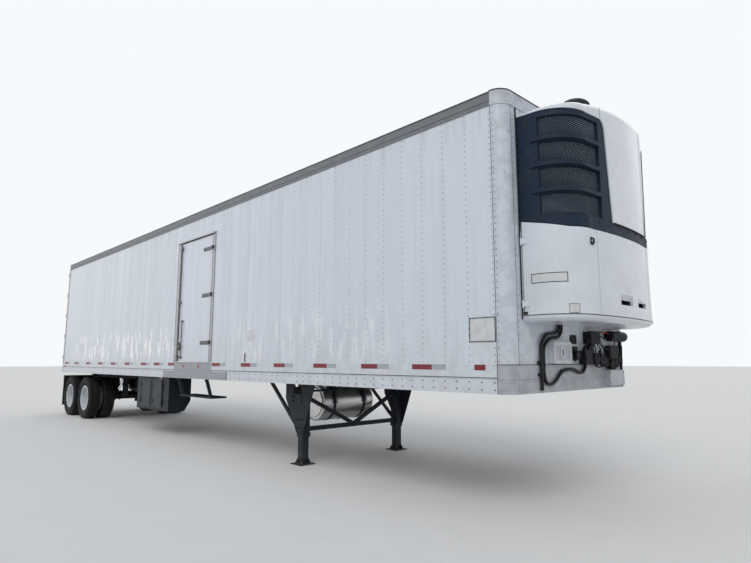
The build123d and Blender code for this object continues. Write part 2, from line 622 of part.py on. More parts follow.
def suspension():
    """Trailing arms and air springs, the axles with their brake chambers, and the air tank."""
    rail_bottom = RAIL_BOTTOM_Z + RAIL_WALL - SLIDER_RAIL_HEIGHT
    arms = []
    springs = []
    axles = []
    for _, x in AXLES:
        arm = along_y(
            [(x - 380, TYRE_RADIUS + 95), (x - 380, ARM_TOP_Z), (x - 120, ARM_TOP_Z),
             (x + 90, ARM_TOP_Z + 15), (x + 492, TYRE_RADIUS + 120), (x + 492, TYRE_RADIUS + 60),
             (x + 90, TYRE_RADIUS + AXLE_RADIUS), (x - 90, TYRE_RADIUS + AXLE_RADIUS)],
            SLIDER_RAIL_Y - 40, SLIDER_RAIL_Y + 40)
        arms += both_sides(arm)
        middle = x - AIR_SPRING_BACK
        # (radius, height) up the bellows
        bellows = ((0, ARM_TOP_Z), (90, ARM_TOP_Z), (90, ARM_TOP_Z + 110), (AIR_SPRING_RADIUS, ARM_TOP_Z + 140),
                   (AIR_SPRING_RADIUS + 12, ARM_TOP_Z + 190), (AIR_SPRING_RADIUS + 12, rail_bottom - 50),
                   (AIR_SPRING_RADIUS - 10, rail_bottom), (0, rail_bottom))
        outline = Polyline(*[(r, 0, z) for r, z in bellows], close=True)
        bag = Pos(middle, SLIDER_RAIL_Y, 0) * revolve(make_face(outline), axis=Axis.Z)
        springs += both_sides(bag)
        reach = DUAL_CENTRE_Y - 262
        spindle = DUAL_CENTRE_Y + 140
        tube = rod((x, -reach, TYRE_RADIUS), (x, reach, TYRE_RADIUS), AXLE_RADIUS)
        tube += rod((x, -spindle, TYRE_RADIUS), (x, spindle, TYRE_RADIUS), SPINDLE_RADIUS)
        for y in (-CHAMBER_Y, CHAMBER_Y):
            tube += block(x - 20, x + 145, y - 30, y + 30, TYRE_RADIUS + 25, TYRE_RADIUS + 75)
            tube += rod((x + 140, y, TYRE_RADIUS + 50), (x + 290, y, TYRE_RADIUS + 50), CHAMBER_RADIUS)
        axles.append(tube)
    NODES["suspension_arms"] = group(arms)
    NODES["air_springs"] = group(springs)
    NODES["axles"] = group(axles)
    tank_x = SLIDER_FRONT_X - 120
    tank_z = rail_bottom - AIR_TANK_RADIUS - 10
    tank = rod((tank_x, -AIR_TANK_HALF, tank_z), (tank_x, AIR_TANK_HALF, tank_z), AIR_TANK_RADIUS)
    for y in (-220, 220):
        tank += block(tank_x - 30, tank_x + 30, y - 20, y + 20, tank_z, rail_bottom + 20)
    NODES["air_tank"] = tank


def rear_guard():
    """The under-ride guard below the rear sill, and the mud flaps ahead of it."""
    x = X_REAR + 10
    top = GUARD_BOTTOM_Z + GUARD_SIZE
    beam = block(x, x + GUARD_SIZE, -GUARD_HALF, GUARD_HALF, GUARD_BOTTOM_Z, top)
    for y in (-SLIDER_RAIL_Y, SLIDER_RAIL_Y):
        beam += along_y(
            [(x, top - 10), (x + 80, top - 10), (x + 160, RAIL_BOTTOM_Z), (x, RAIL_BOTTOM_Z)], y - 40, y + 40)
    NODES["rear_guard"] = beam
    outer = HALF_WIDTH - 5
    flap = block(
        MUD_FLAP_X - 5, MUD_FLAP_X + 5, outer - MUD_FLAP_WIDTH, outer, MUD_FLAP_BOTTOM_Z, MUD_FLAP_TOP_Z)
    NODES["mud_flaps"] = group(both_sides(flap))


def landing_gear():
    """Two telescopic legs with wing plates, braced to each other and to the frame, and their crank."""
    x = LEG_X
    half = LEG_TUBE / 2
    top = RAIL_BOTTOM_Z + RAIL_WALL
    outer = block(x - half, x + half, LEG_Y - half, LEG_Y + half, LEG_TUBE_BOTTOM_Z, top)
    outer += block(x - half - 8, x + half + 8, LEG_Y - half - 8, LEG_Y + half,
                   LEG_TUBE_BOTTOM_Z + 10, LEG_TUBE_BOTTOM_Z + 60)
    bore = LEG_INNER / 2 + LEG_CLEARANCE
    outer -= block(x - bore, x + bore, LEG_Y - bore, LEG_Y + bore, LEG_TUBE_BOTTOM_Z - 1, top - 150)
    face = LEG_Y + half + WING_THICKNESS
    wing = along_y(
        [(x - WING_REAR, top), (x - 150, top), (x - 110, top - 70), (x + 20, top - 70), (x + 60, top),
         (x + WING_FRONT, top), (x + WING_FRONT - 10, top - 60), (x + 75, 430), (x - 75, 430),
         (x - WING_REAR, 900)],
        LEG_Y + half, face)
    leg = outer + wing
    inner = LEG_INNER / 2
    shin = block(x - inner, x + inner, LEG_Y - inner, LEG_Y + inner, 70, top - 260)
    shin += rod((x, LEG_Y - 75, 52), (x, LEG_Y + 75, 52), 22)
    for y in (LEG_Y - 75, LEG_Y + 55):
        shin += along_y([(x - 90, FOOT_THICKNESS), (x + 90, FOOT_THICKNESS), (x + 35, 85), (x - 35, 85)], y, y + 20)
    shin += block(x - 40, x + 40, LEG_Y - 30, LEG_Y + 30, 30, 75)
    reach = FOOT_SIZE / 2
    shin += block(x - reach, x + reach, LEG_Y - reach, LEG_Y + reach, 0, FOOT_THICKNESS)
    gearbox = block(x - 95, x + 70, face, face + 75, CRANK_Z - 80, CRANK_Z + 70)
    stub = face + 75
    arm_y = HALF_WIDTH - 75
    crank = rod((x - 20, stub, CRANK_Z), (x - 20, arm_y, CRANK_Z), 13)
    crank += block(x - 35, x + 215, arm_y - 8, arm_y + 8, CRANK_Z - 15, CRANK_Z + 15)
    crank += rod((x + 200, arm_y - 100, CRANK_Z), (x + 200, arm_y, CRANK_Z), 13)
    NODES["landing_legs"] = group([leg + gearbox + crank, across(leg)])
    NODES["landing_feet"] = group(both_sides(shin))
    inside = LEG_Y - half
    brace = bar((x, -inside, CROSS_TUBE_Z), (x, inside, CROSS_TUBE_Z), CROSS_TUBE, CROSS_TUBE, side=(1, 0, 0))
    knee = bar((x, inside + 40, 940), (x, 20, CROSS_TUBE_Z + 20), 50, 50, side=(1, 0, 0))
    knee -= block(x - half, x + half, inside, LEG_Y + half, 700, 1100)
    brace += knee
    brace += across(knee)
    shaft = rod((x, -inside, CRANK_Z + 30), (x, inside, CRANK_Z + 30), 14)
    stay = along_y(
        [(x - STAY_REACH, top), (x - STAY_REACH + STAY_DEPTH, top), (x - half, LEG_TUBE_BOTTOM_Z + 126),
         (x - half, LEG_TUBE_BOTTOM_Z + 126 - STAY_DEPTH)], LEG_Y + 10, LEG_Y + 50)
    NODES["landing_gear_braces"] = group([brace, shaft] + both_sides(stay))


def coupler():
    """The upper coupler plate and its kingpin."""
    z1 = RAIL_BOTTOM_Z + RAIL_WALL
    z0 = z1 - COUPLER_THICKNESS
    x1 = X_FRONT - CORNER_RADIUS
    plate = block(x1 - COUPLER_LENGTH, x1, -HALF_WIDTH + RAIL_FLANGE, HALF_WIDTH - RAIL_FLANGE, z0, z1)
    NODES["coupler_plate"] = plate
    x = X_FRONT - KINGPIN_SETBACK
    r1 = KINGPIN_HEAD_RADIUS
    r2 = KINGPIN_NECK_RADIUS
    # (radius, depth below the plate)
    profile = ((0, 0), (60, 0), (60, 6), (36.5, 10), (36.5, 26), (r2, 30), (r2, 63), (r1, 67), (r1, 82), (r1 - 3, 84),
               (0, 84))
    outline = Polyline(*[(r, 0, -d) for r, d in profile], close=True)
    NODES["kingpin"] = Pos(x, 0, z0) * revolve(make_face(outline), axis=Axis.Z)


# The unit's fuel tank, across the trailer behind the legs
TANK_RADIUS = 285
TANK_GAP = 55
TANK_X = LEG_X - CROSS_TUBE / 2 - TANK_GAP - TANK_RADIUS
TANK_HALF_LENGTH = 500
TANK_Z = 819
STRAP_Y = 300
STRAP_WIDTH = 50


def fuel_tank():
    """The unit's fuel tank with its filler, lying across the trailer in two straps."""
    x = TANK_X
    end = TANK_HALF_LENGTH
    # (distance along the tank, radius) from one end's middle to its rolled edge
    half_profile = ((end, 0), (end, 215), (end - 14, 232), (end - 14, 250), (end, 262), (end - 4, 276),
                    (end - 22, TANK_RADIUS))
    profile = list(half_profile) + [(-a, r) for a, r in reversed(half_profile)]
    outline = Polyline(*[(0, a, r) for a, r in profile], close=True)
    tank = Pos(x, 0, TANK_Z) * revolve(make_face(outline), axis=Axis.Y)
    neck = (x + 150, -410)
    tank += rod((*neck, TANK_Z + 200), (*neck, TANK_Z + 275), 38)
    tank += rod((*neck, TANK_Z + 262), (*neck, TANK_Z + 292), 50)
    NODES["fuel_tank"] = tank
    straps = []
    top = RAIL_BOTTOM_Z + RAIL_WALL
    half = STRAP_WIDTH / 2
    hang = TANK_RADIUS + 35
    for y in (-STRAP_Y, STRAP_Y):
        carrier = block(x - hang - 40, x + hang + 40, y - half, y + half, top - 15, top)
        ring = rod((x, y - half, TANK_Z), (x, y + half, TANK_Z), TANK_RADIUS + 5)
        ring -= rod((x, y - half - 1, TANK_Z), (x, y + half + 1, TANK_Z), TANK_RADIUS + RUNNING_CLEARANCE)
        for inner, outer in ((x - TANK_RADIUS - 2, x - hang), (x + TANK_RADIUS + 2, x + hang)):
            carrier += block(inner, outer, y - half, y + half, TANK_Z - 20, top)
        straps.append(ring + carrier)
    NODES["fuel_tank_straps"] = group(straps)


# The box under the curb-side rail, measured back from the front wall
BOX_FRONT = 7700
BOX_REAR = 9260
BOX_FACE_Y = HALF_WIDTH - 95.5
BOX_DEPTH = 450
BOX_TOP_Z = 1119
BOX_BOTTOM_Z = 469
BOX_WALL = 5
# Each door of the box from its rear to its front edge
BOX_DOORS = ((9000, 8530), (8470, 8000))
BOX_DOOR_Z = (540, 1060)
BOX_DOOR_LAP = 15
BOX_HINGE_Y = -BOX_FACE_Y - 24
BOX_HINGE_RADIUS = 8
BOX_HINGE_HEIGHT = 40
BOX_HINGE_ROWS = (640, 960)
# Each hinge line with the middle of the lugs' seat on the box's face
BOX_HINGES = (
    (X_FRONT - BOX_DOORS[0][0] - 26, X_FRONT - BOX_DOORS[0][0] - 40),
    (X_FRONT - BOX_DOORS[1][1] + 26, X_FRONT - BOX_DOORS[1][1] + 40),
)


def equipment_box():
    """The box under the curb-side rail, with its two doors and their latches."""
    x0 = X_FRONT - BOX_REAR
    x1 = X_FRONT - BOX_FRONT
    back = -BOX_FACE_Y + BOX_DEPTH
    wall = BOX_WALL
    section = [
        (-BOX_FACE_Y, BOX_BOTTOM_Z), (-BOX_FACE_Y, BOX_TOP_Z), (back, BOX_TOP_Z), (back, BOX_BOTTOM_Z + 200),
        (back - 120, BOX_BOTTOM_Z),
    ]
    shell = along_x(section, x0, x1)
    inside = [
        (-BOX_FACE_Y - 1, BOX_BOTTOM_Z + wall), (-BOX_FACE_Y - 1, BOX_TOP_Z - wall),
        (back - wall, BOX_TOP_Z - wall), (back - wall, BOX_BOTTOM_Z + 203),
        (back - 123, BOX_BOTTOM_Z + wall),
    ]
    shell -= along_x(inside, x0 + wall, x1 - wall)
    face = block(x0 + wall, x1 - wall, -BOX_FACE_Y, -BOX_FACE_Y + 4, BOX_BOTTOM_Z + wall, BOX_TOP_Z - wall)
    for lo, hi in BOX_DOORS:
        face -= block(X_FRONT - lo, X_FRONT - hi, -BOX_FACE_Y - 1, -BOX_FACE_Y + 5, *BOX_DOOR_Z)
    shell += face
    for x in (x0 + 80, x1 - 120):
        shell += block(x, x + 40, -HALF_WIDTH + 10, back - 20, BOX_TOP_Z, RAIL_BOTTOM_Z)
    for hinge_x, root in BOX_HINGES:
        for z in BOX_HINGE_ROWS:
            shell += hinge_lugs(
                hinge_x, BOX_HINGE_Y, z, BOX_HINGE_RADIUS, BOX_HINGE_HEIGHT,
                ((root - 12, -BOX_FACE_Y), (root + 12, -BOX_FACE_Y)))
    NODES["equipment_box"] = shell
    for name, (lo, hi), (hinge_x, root) in zip(("rear", "front"), BOX_DOORS, BOX_HINGES):
        rear_edge = X_FRONT - lo - BOX_DOOR_LAP
        front_edge = X_FRONT - hi + BOX_DOOR_LAP
        door = block(
            rear_edge, front_edge, -BOX_FACE_Y - 16, -BOX_FACE_Y - 1,
            BOX_DOOR_Z[0] - BOX_DOOR_LAP, BOX_DOOR_Z[1] + BOX_DOOR_LAP)
        edge, toward = (rear_edge, 1) if name == "rear" else (front_edge, -1)
        free = front_edge if name == "rear" else rear_edge
        for z in (BOX_DOOR_Z[0] + 110, BOX_DOOR_Z[1] - 110):
            door += block(free - toward * 75, free - toward * 20, -BOX_FACE_Y - 28, -BOX_FACE_Y - 15, z - 45, z + 45)
        half = BOX_HINGE_HEIGHT / 2
        for z in BOX_HINGE_ROWS:
            leaf = along_z(
                [(edge, -BOX_FACE_Y - 14), (edge + toward * 20, -BOX_FACE_Y - 14),
                 (edge + toward * 20, BOX_HINGE_Y - 5), (hinge_x, BOX_HINGE_Y - 5), (hinge_x, BOX_HINGE_Y + 5)],
                z - half, z + half)
            leaf -= rod((hinge_x, BOX_HINGE_Y, z - half), (hinge_x, BOX_HINGE_Y, z + half),
                        HINGE_PIN + RUNNING_CLEARANCE)
            door += leaf
            door += knuckle(hinge_x, BOX_HINGE_Y, z, BOX_HINGE_RADIUS, BOX_HINGE_HEIGHT)
        NODES["box_door_" + name] = door


# The step below the side door
STEP_FRONT = SIDE_DOOR_FRONT + 40
STEP_REAR = SIDE_DOOR_REAR - 15
STEP_FACE_Y = HALF_WIDTH - 95.5
STEP_DEPTH = 300
STEP_TOP_Z = 830
STEP_HEIGHT = 30
STEP_SLOTS = 13
STEP_RIM = 28


def side_step():
    """The open step below the side door, on two slanted hangers."""
    x0 = X_FRONT - STEP_REAR
    x1 = X_FRONT - STEP_FRONT
    y0 = -STEP_FACE_Y
    y1 = y0 + STEP_DEPTH
    step = block(x0, x1, y0, y1, STEP_TOP_Z - STEP_HEIGHT, STEP_TOP_Z)
    pitch = (x1 - x0 - STEP_RIM) / STEP_SLOTS
    for i in range(STEP_SLOTS):
        start = x0 + STEP_RIM + i * pitch
        step -= block(start, start + pitch - STEP_RIM / 2, y0 + STEP_RIM, y1 - STEP_RIM,
                      STEP_TOP_Z - STEP_HEIGHT - 1, STEP_TOP_Z + 1)
    seat = -HALF_WIDTH + 12
    for x in (x0 + 60, x1 - 60):
        step += along_x(
            [(seat, RAIL_BOTTOM_Z), (seat + 50, RAIL_BOTTOM_Z), (y0 + 60, STEP_TOP_Z - 10), (y0 + 10, STEP_TOP_Z - 10)],
            x - 20, x + 20)
    NODES["side_step"] = step


# The cooling unit: its lower levels go up from the rail's top, its upper ones down from the roof
UNIT_HALF = HALF_WIDTH - 235.5
UNIT_BOTTOM_Z = RAIL_TOP_Z + 410
UNIT_DOOR_BOTTOM_Z = RAIL_TOP_Z + 476
UNIT_DOOR_TOP_Z = RAIL_TOP_Z + 1306
UNIT_BELT_TOP_Z = RAIL_TOP_Z + 1423
UNIT_GRILLE_TOP_Z = ROOF_Z - 270
UNIT_TOP_Z = ROOF_Z - 7
UNIT_RISE = 100
UNIT_RISE_LENGTH = 455
UNIT_UPPER_INSET = 12
CAP_EDGE = 85
# The round outlet that stands on the cap
UNIT_VENT_PLACE = (X_FRONT + 310, -390)
UNIT_VENT_RADIUS = 150
UNIT_VENT_RISE = 7
UNIT_SHELL = 30
UNIT_BACK = 20
UNIT_CURB_SEAM_Y = -UNIT_HALF + 480
UNIT_ROAD_SEAM_Y = UNIT_HALF - 150
UNIT_GAP = 8
UNIT_HINGE_RADIUS = 8
UNIT_HINGE_HEIGHT = 50
UNIT_HINGE_ROWS = (UNIT_DOOR_BOTTOM_Z + 105, UNIT_DOOR_TOP_Z - 105)
# Pins of the road-side door and of the front door, seen from above
UNIT_SIDE_HINGE = (X_FRONT + 14, UNIT_HALF + 14)
UNIT_FRONT_HINGE = (X_FRONT + UNIT_DEPTH - 115, UNIT_ROAD_SEAM_Y - 4)
UNIT_FRONT_BARREL = 40
UNIT_REACH = X_FRONT + UNIT_DEPTH + 20


def unit_face(inset, z):
    """Plan of the cooling unit: a short side, a tight corner and a gently curved front."""
    side = UNIT_HALF - inset
    front = X_FRONT + UNIT_DEPTH - inset
    start = FRONT_SKIN_X
    turn = (X_FRONT + 170, side - 10)
    corner = (front - 185, side - 100)
    shoulder = (front - 45, side - 420)
    lines = [
        Line((start, -side, z), (turn[0], -turn[1], z)),
        ThreePointArc((turn[0], -turn[1], z), (corner[0], -corner[1], z), (shoulder[0], -shoulder[1], z)),
        ThreePointArc((shoulder[0], -shoulder[1], z), (front, 0, z), (shoulder[0], shoulder[1], z)),
        ThreePointArc((shoulder[0], shoulder[1], z), (corner[0], corner[1], z), (turn[0], turn[1], z)),
        Line((turn[0], turn[1], z), (start, side, z)),
        Line((start, side, z), (start, -side, z)),
    ]
    return make_face(lines)


def unit_solid(inset, z0, z1):
    """The unit's plan run from z0 to z1."""
    return extrude(unit_face(inset, z0), amount=z1 - z0, dir=(0, 0, 1))


def unit_ring(outer, inner, z0, z1):
    """A wall that follows the unit's plan between two insets."""
    return unit_solid(outer, z0, z1) - unit_solid(inner, z0, z1)


def above_doors(lift):
    """All that lies over the doors' top line, which rises towards the wall, moved up by lift."""
    z = UNIT_DOOR_TOP_Z + lift
    top = UNIT_DOOR_TOP_Z + UNIT_RISE + 60
    back = FRONT_SKIN_X - 1
    return along_y(
        [(back, z + UNIT_RISE), (X_FRONT, z + UNIT_RISE), (X_FRONT + UNIT_RISE_LENGTH, z), (UNIT_REACH, z),
         (UNIT_REACH, top), (back, top)], -UNIT_HALF - 40, UNIT_HALF + 40)


def unit_base():
    """The unit's rounded lower lip, with the back plate and the fixed halves of its hinges."""
    top = UNIT_DOOR_BOTTOM_Z - UNIT_GAP
    # (height, inset) up the lip
    lip = ((UNIT_BOTTOM_Z, 60), (UNIT_BOTTOM_Z + 10, 28), (UNIT_BOTTOM_Z + 32, 10), (top, 6))
    base = loft([unit_face(inset, z) for z, inset in lip], ruled=True)
    inner = UNIT_HALF - 60
    back = block(FRONT_SKIN_X, X_FRONT + UNIT_BACK, -inner, inner, top, UNIT_BELT_TOP_Z)
    back += block(FRONT_SKIN_X, X_FRONT + UNIT_BACK - 12, -UNIT_HALF, UNIT_HALF, UNIT_BOTTOM_Z + 20,
                  UNIT_DOOR_TOP_Z)
    for z in UNIT_HINGE_ROWS:
        lugs = hinge_lugs(
            *UNIT_SIDE_HINGE, z, UNIT_HINGE_RADIUS, UNIT_HINGE_HEIGHT,
            ((FRONT_SKIN_X, UNIT_HALF - 1), (X_FRONT + 7, UNIT_HALF - 1)))
        back += lugs
        back += across(lugs)
    pin_x, pin_y = UNIT_FRONT_HINGE
    base += block(pin_x - 60, pin_x + UNIT_HINGE_RADIUS, pin_y - 10, pin_y + 10, top - 12, top)
    base += rod((pin_x, pin_y, top - 12), (pin_x, pin_y, UNIT_DOOR_BOTTOM_Z + UNIT_FRONT_BARREL), HINGE_PIN)
    NODES["unit_base"] = base + back


# Vents in the front door: (from, to) across it, over the door's lower edge
UNIT_VENTS = ((-190, 100), (250, 520))
UNIT_VENT_Z = (UNIT_DOOR_BOTTOM_Z + 120, UNIT_DOOR_BOTTOM_Z + 225)
UNIT_LOCK = (UNIT_HALF - 370, UNIT_DOOR_TOP_Z - 125)


def unit_doors():
    """Two side doors hinged at the wall, and the front door with its two hooded vents."""
    z0 = UNIT_DOOR_BOTTOM_Z
    z1 = UNIT_DOOR_TOP_Z
    ring = unit_ring(0, UNIT_SHELL, z0, z1 + UNIT_RISE) - above_doors(0)
    hinge_x, hinge_y = UNIT_SIDE_HINGE
    half = UNIT_HINGE_HEIGHT / 2
    # Each side door with the distance of its free edge from the middle
    for name, seam in (("road", UNIT_ROAD_SEAM_Y), ("curb", -UNIT_CURB_SEAM_Y)):
        door = ring & block(
            X_FRONT + UNIT_BACK, UNIT_REACH, seam + UNIT_GAP, UNIT_HALF + 10, z0 - 1, z1 + UNIT_RISE + 1)
        for z in UNIT_HINGE_ROWS:
            arm = along_z(
                [(hinge_x + 8, UNIT_HALF - 6), (hinge_x + 60, UNIT_HALF - 6), (hinge_x + 60, UNIT_HALF + 4),
                 (hinge_x + 2, hinge_y + 6), (hinge_x, hinge_y - 4)], z - half, z + half)
            arm -= rod((hinge_x, hinge_y, z - half), (hinge_x, hinge_y, z + half), HINGE_PIN + RUNNING_CLEARANCE)
            door += arm
            door += knuckle(hinge_x, hinge_y, z, UNIT_HINGE_RADIUS, UNIT_HINGE_HEIGHT)
        if name == "curb":
            lock_y, lock_z = UNIT_LOCK
            door += rod((X_FRONT + UNIT_DEPTH - 90, lock_y, lock_z), (X_FRONT + UNIT_DEPTH - 30, lock_y, lock_z), 20)
            door = across(door)
        NODES["unit_door_" + name] = door

    front = X_FRONT + UNIT_DEPTH
    front_door = ring & block(
        X_FRONT + UNIT_BACK, UNIT_REACH, UNIT_CURB_SEAM_Y, UNIT_ROAD_SEAM_Y, z0 - 1, z1)
    vent_low, vent_high = UNIT_VENT_Z
    lip = (vent_low + vent_high) / 2
    for y0, y1 in UNIT_VENTS:
        front_door -= along_y(
            [(front + 5, vent_high), (front - 4, vent_high), (front - 28, lip), (front - 90, lip),
             (front - 90, vent_low), (front + 5, vent_low)], y0, y1)
    pin_x, pin_y = UNIT_FRONT_HINGE
    for z in (z0 + UNIT_FRONT_BARREL / 2, z1 - UNIT_FRONT_BARREL / 2):
        low = z - UNIT_FRONT_BARREL / 2
        high = z + UNIT_FRONT_BARREL / 2
        arm = along_z(
            [(pin_x - 6, pin_y - 6), (pin_x - 10, pin_y - 26), (pin_x + 12, pin_y - 62), (pin_x + 26, pin_y - 45),
             (pin_x + 6, pin_y + 6)], low, high)
        arm -= rod((pin_x, pin_y, low), (pin_x, pin_y, high), HINGE_PIN + RUNNING_CLEARANCE)
        front_door += arm
        front_door += knuckle(pin_x, pin_y, z, UNIT_HINGE_RADIUS + 1, UNIT_FRONT_BARREL)
    NODES["unit_door_front"] = front_door


# The white panel on the front of the upper part, as half its width at each height
PANEL_CENTRE_Y = 210
PANEL_OUTLINE = ((460, UNIT_BELT_TOP_Z + UNIT_GAP), (535, UNIT_GRILLE_TOP_Z - 90), (555, UNIT_GRILLE_TOP_Z - 40),
                 (600, UNIT_GRILLE_TOP_Z))
PANEL_SHELL = 50
# Four rows of open grille on each side, with a raised bar between them
GRILLE_ROWS = 4
GRILLE_BAR = 46
GRILLE_LOW_Z = UNIT_BELT_TOP_Z + 18
GRILLE_HIGH_Z = UNIT_GRILLE_TOP_Z - 50
GRILLE_PITCH = (GRILLE_HIGH_Z - GRILLE_LOW_Z + GRILLE_BAR) / GRILLE_ROWS
GRILLE_TAPER = 17
# How near to the middle the openings of the curb side and of the road side reach
GRILLE_CURB_Y = 440
GRILLE_ROAD_Y = 930
GRILLE_START_X = X_FRONT + 215
GRILLE_SLATS = 6
GRILLE_SHEET = 5
# The parts of the grille between its upright strips, as (from, to) across the unit
GRILLE_LIGHTS = ((446, 600), (612, 790), (802, 930), (942, 1060))


def grille_rows():
    """The lower and upper edge of each open row."""
    return [(GRILLE_LOW_Z + i * GRILLE_PITCH, GRILLE_LOW_Z + (i + 1) * GRILLE_PITCH - GRILLE_BAR)
            for i in range(GRILLE_ROWS)]


def unit_upper():
    """Belt, dark shroud with its open rows and raised bars, grille, white front panel, and domed cap."""
    pin_x, pin_y = UNIT_FRONT_HINGE
    high = UNIT_DOOR_TOP_Z + UNIT_GAP
    inner = UNIT_HALF - 60
    belt = unit_solid(4, high, UNIT_BELT_TOP_Z) & above_doors(UNIT_GAP)
    belt += block(pin_x - 60, pin_x + UNIT_HINGE_RADIUS, pin_y - 10, pin_y + 10, high, high + 12)
    belt += rod((pin_x, pin_y, UNIT_DOOR_TOP_Z - UNIT_FRONT_BARREL), (pin_x, pin_y, high + 12), HINGE_PIN)
    NODES["unit_belt"] = belt - block(
        FRONT_SKIN_X - 1, X_FRONT + UNIT_BACK, -inner, inner, UNIT_DOOR_TOP_Z, UNIT_BELT_TOP_Z + 1)

    inset = UNIT_UPPER_INSET
    z0 = UNIT_BELT_TOP_Z
    z1 = UNIT_GRILLE_TOP_Z
    shroud = unit_solid(inset, z0, z1) - unit_solid(inset + UNIT_SHELL, z0, z1 - UNIT_SHELL)
    middle = [(PANEL_CENTRE_Y - y, z) for y, z in PANEL_OUTLINE]
    middle += [(PANEL_CENTRE_Y + y, z) for y, z in reversed(PANEL_OUTLINE)]
    shroud -= along_x(
        [(middle[0][0], z0 - 1)] + middle + [(middle[-1][0], z0 - 1)], X_FRONT + 300, UNIT_REACH)
    edge = UNIT_HALF + 10
    for near, sign in ((GRILLE_CURB_Y, -1), (GRILLE_ROAD_Y, 1)):
        for low, top in grille_rows():
            shroud -= along_x(
                [(sign * edge, low + GRILLE_TAPER), (sign * near, low), (sign * near, top),
                 (sign * edge, top - GRILLE_TAPER)], GRILLE_START_X, UNIT_REACH)
        for _, top in grille_rows()[:-1]:
            fin = unit_ring(-6, inset + 2, top + 3, top + GRILLE_BAR - 3)
            shroud += fin & block(GRILLE_START_X - 70, UNIT_REACH, sign * near, sign * edge, top, top + GRILLE_BAR)
    shroud += block(FRONT_SKIN_X, X_FRONT + UNIT_BACK, -inner, inner, z0, z1)
    NODES["unit_upper_shroud"] = shroud

    sheet_inset = inset + UNIT_SHELL
    sheet = unit_ring(sheet_inset, sheet_inset + GRILLE_SHEET, z0, z1 - UNIT_SHELL)
    slots = []
    for low, top in grille_rows():
        pitch = (top - low) / GRILLE_SLATS
        for i in range(GRILLE_SLATS):
            for near, far in GRILLE_LIGHTS:
                slots.append(block(GRILLE_START_X, UNIT_REACH, near, far, low + i * pitch, low + (i + 1) * pitch - 8))
    sheet -= slots
    x = GRILLE_START_X - 40
    NODES["unit_grille"] = group([
        sheet & block(x, UNIT_REACH, GRILLE_ROAD_Y - 30, UNIT_HALF, z0, z1),
        across(sheet & block(x, UNIT_REACH, GRILLE_CURB_Y - 30, UNIT_HALF, z0, z1))])

    panel = unit_ring(0, PANEL_SHELL, z0, z1)
    panel &= along_x(middle, X_FRONT + 300, UNIT_REACH)
    NODES["unit_front_panel"] = panel

    low = z1 - 150
    side = UNIT_HALF + 10
    x = FRONT_SKIN_X - 1
    road_z = UNIT_TOP_Z - 40
    curb_z = UNIT_TOP_Z - 235
    vault = make_face([
        Line((x, -side, low), (x, side, low)),
        Line((x, side, low), (x, side, road_z)),
        ThreePointArc((x, side, road_z), (x, 250, UNIT_TOP_Z - 36), (x, -side, curb_z)),
        Line((x, -side, curb_z), (x, -side, low)),
    ])
    cap = unit_solid(0, low, UNIT_TOP_Z + 10) & extrude(vault, amount=UNIT_DEPTH + 40, dir=(1, 0, 0))
    rim = [e for e in cap.edges() if e.center().Z > z1 and e.bounding_box().max.X > X_FRONT]
    cap = fillet(rim, CAP_EDGE)
    cap -= block(x, UNIT_REACH, -side, side, low - 1, z1)
    cap -= block(x, X_FRONT, -side, side, ROOF_Z - TOP_RAIL_HEIGHT - 2, ROOF_Z)
    seam_y = middle[len(PANEL_OUTLINE) - 1][0]
    seam = block(X_FRONT + 300, UNIT_REACH, seam_y - 3, seam_y, z1 - 1, UNIT_TOP_Z + 1)
    cap -= seam - unit_solid(4, z1 - 1, UNIT_TOP_Z + 1)
    vent_x, vent_y = UNIT_VENT_PLACE
    vent = rod((vent_x, vent_y, UNIT_TOP_Z - 200), (vent_x, vent_y, UNIT_TOP_Z + UNIT_VENT_RISE), UNIT_VENT_RADIUS)
    vent = chamfer(vent.edges().group_by(Axis.Z)[-1], 28)
    cap -= rod((vent_x, vent_y, UNIT_TOP_Z - 200), (vent_x, vent_y, UNIT_TOP_Z + 1), UNIT_VENT_RADIUS)
    NODES["unit_cap"] = cap
    NODES["unit_vent"] = vent


def unit_inside():
    """What shows through the grille and the open doors: the coil, and the block of the engine."""
    NODES["unit_condenser"] = block(
        X_FRONT + UNIT_BACK, X_FRONT + 230, -UNIT_HALF + 210, UNIT_HALF - 210,
        UNIT_BELT_TOP_Z, UNIT_GRILLE_TOP_Z - 80)
    NODES["unit_engine"] = block(
        X_FRONT + 60, X_FRONT + 480, -420, 420, UNIT_DOOR_BOTTOM_Z - UNIT_GAP, UNIT_DOOR_TOP_Z - 250)


EVAPORATOR_HALF = 850
EVAPORATOR_DEPTH = 280
EVAPORATOR_SLOTS = 6


def evaporator_housing():
    """The housing of the unit's cold side, inside on the front wall under the roof."""
    wall = X_FRONT - FRONT_WALL
    top = ROOF_Z - TOP_RAIL_CAP - ROOF_THICKNESS
    bottom = UNIT_BELT_TOP_Z + 300
    depth = EVAPORATOR_DEPTH
    housing = along_y(
        [(wall, top), (wall - depth + 70, top), (wall - depth, top - 90), (wall - depth, bottom + 120),
         (wall - depth + 60, bottom), (wall, bottom)], -EVAPORATOR_HALF, EVAPORATOR_HALF)
    for i in range(EVAPORATOR_SLOTS):
        z = bottom + 150 + i * 55
        housing -= block(wall - depth - 1, wall - depth + 15, -EVAPORATOR_HALF + 150, EVAPORATOR_HALF - 150,
                         z, z + 28)
    NODES["evaporator_housing"] = housing


# Boxes on the front wall: (from, to) across it, (from, to) over the rail's top, and how far they stand out
NOSE_BOXES = (
    (-130, 20, 218, 316, 6), (-110, 5, 150, 190, 20), (60, 250, -6, 145, 75), (420, 1090, 120, 380, 8),
    (690, 930, 58, 213, 70), (185, 430, 225, 360, 85), (250, 330, 145, 225, 40),
)
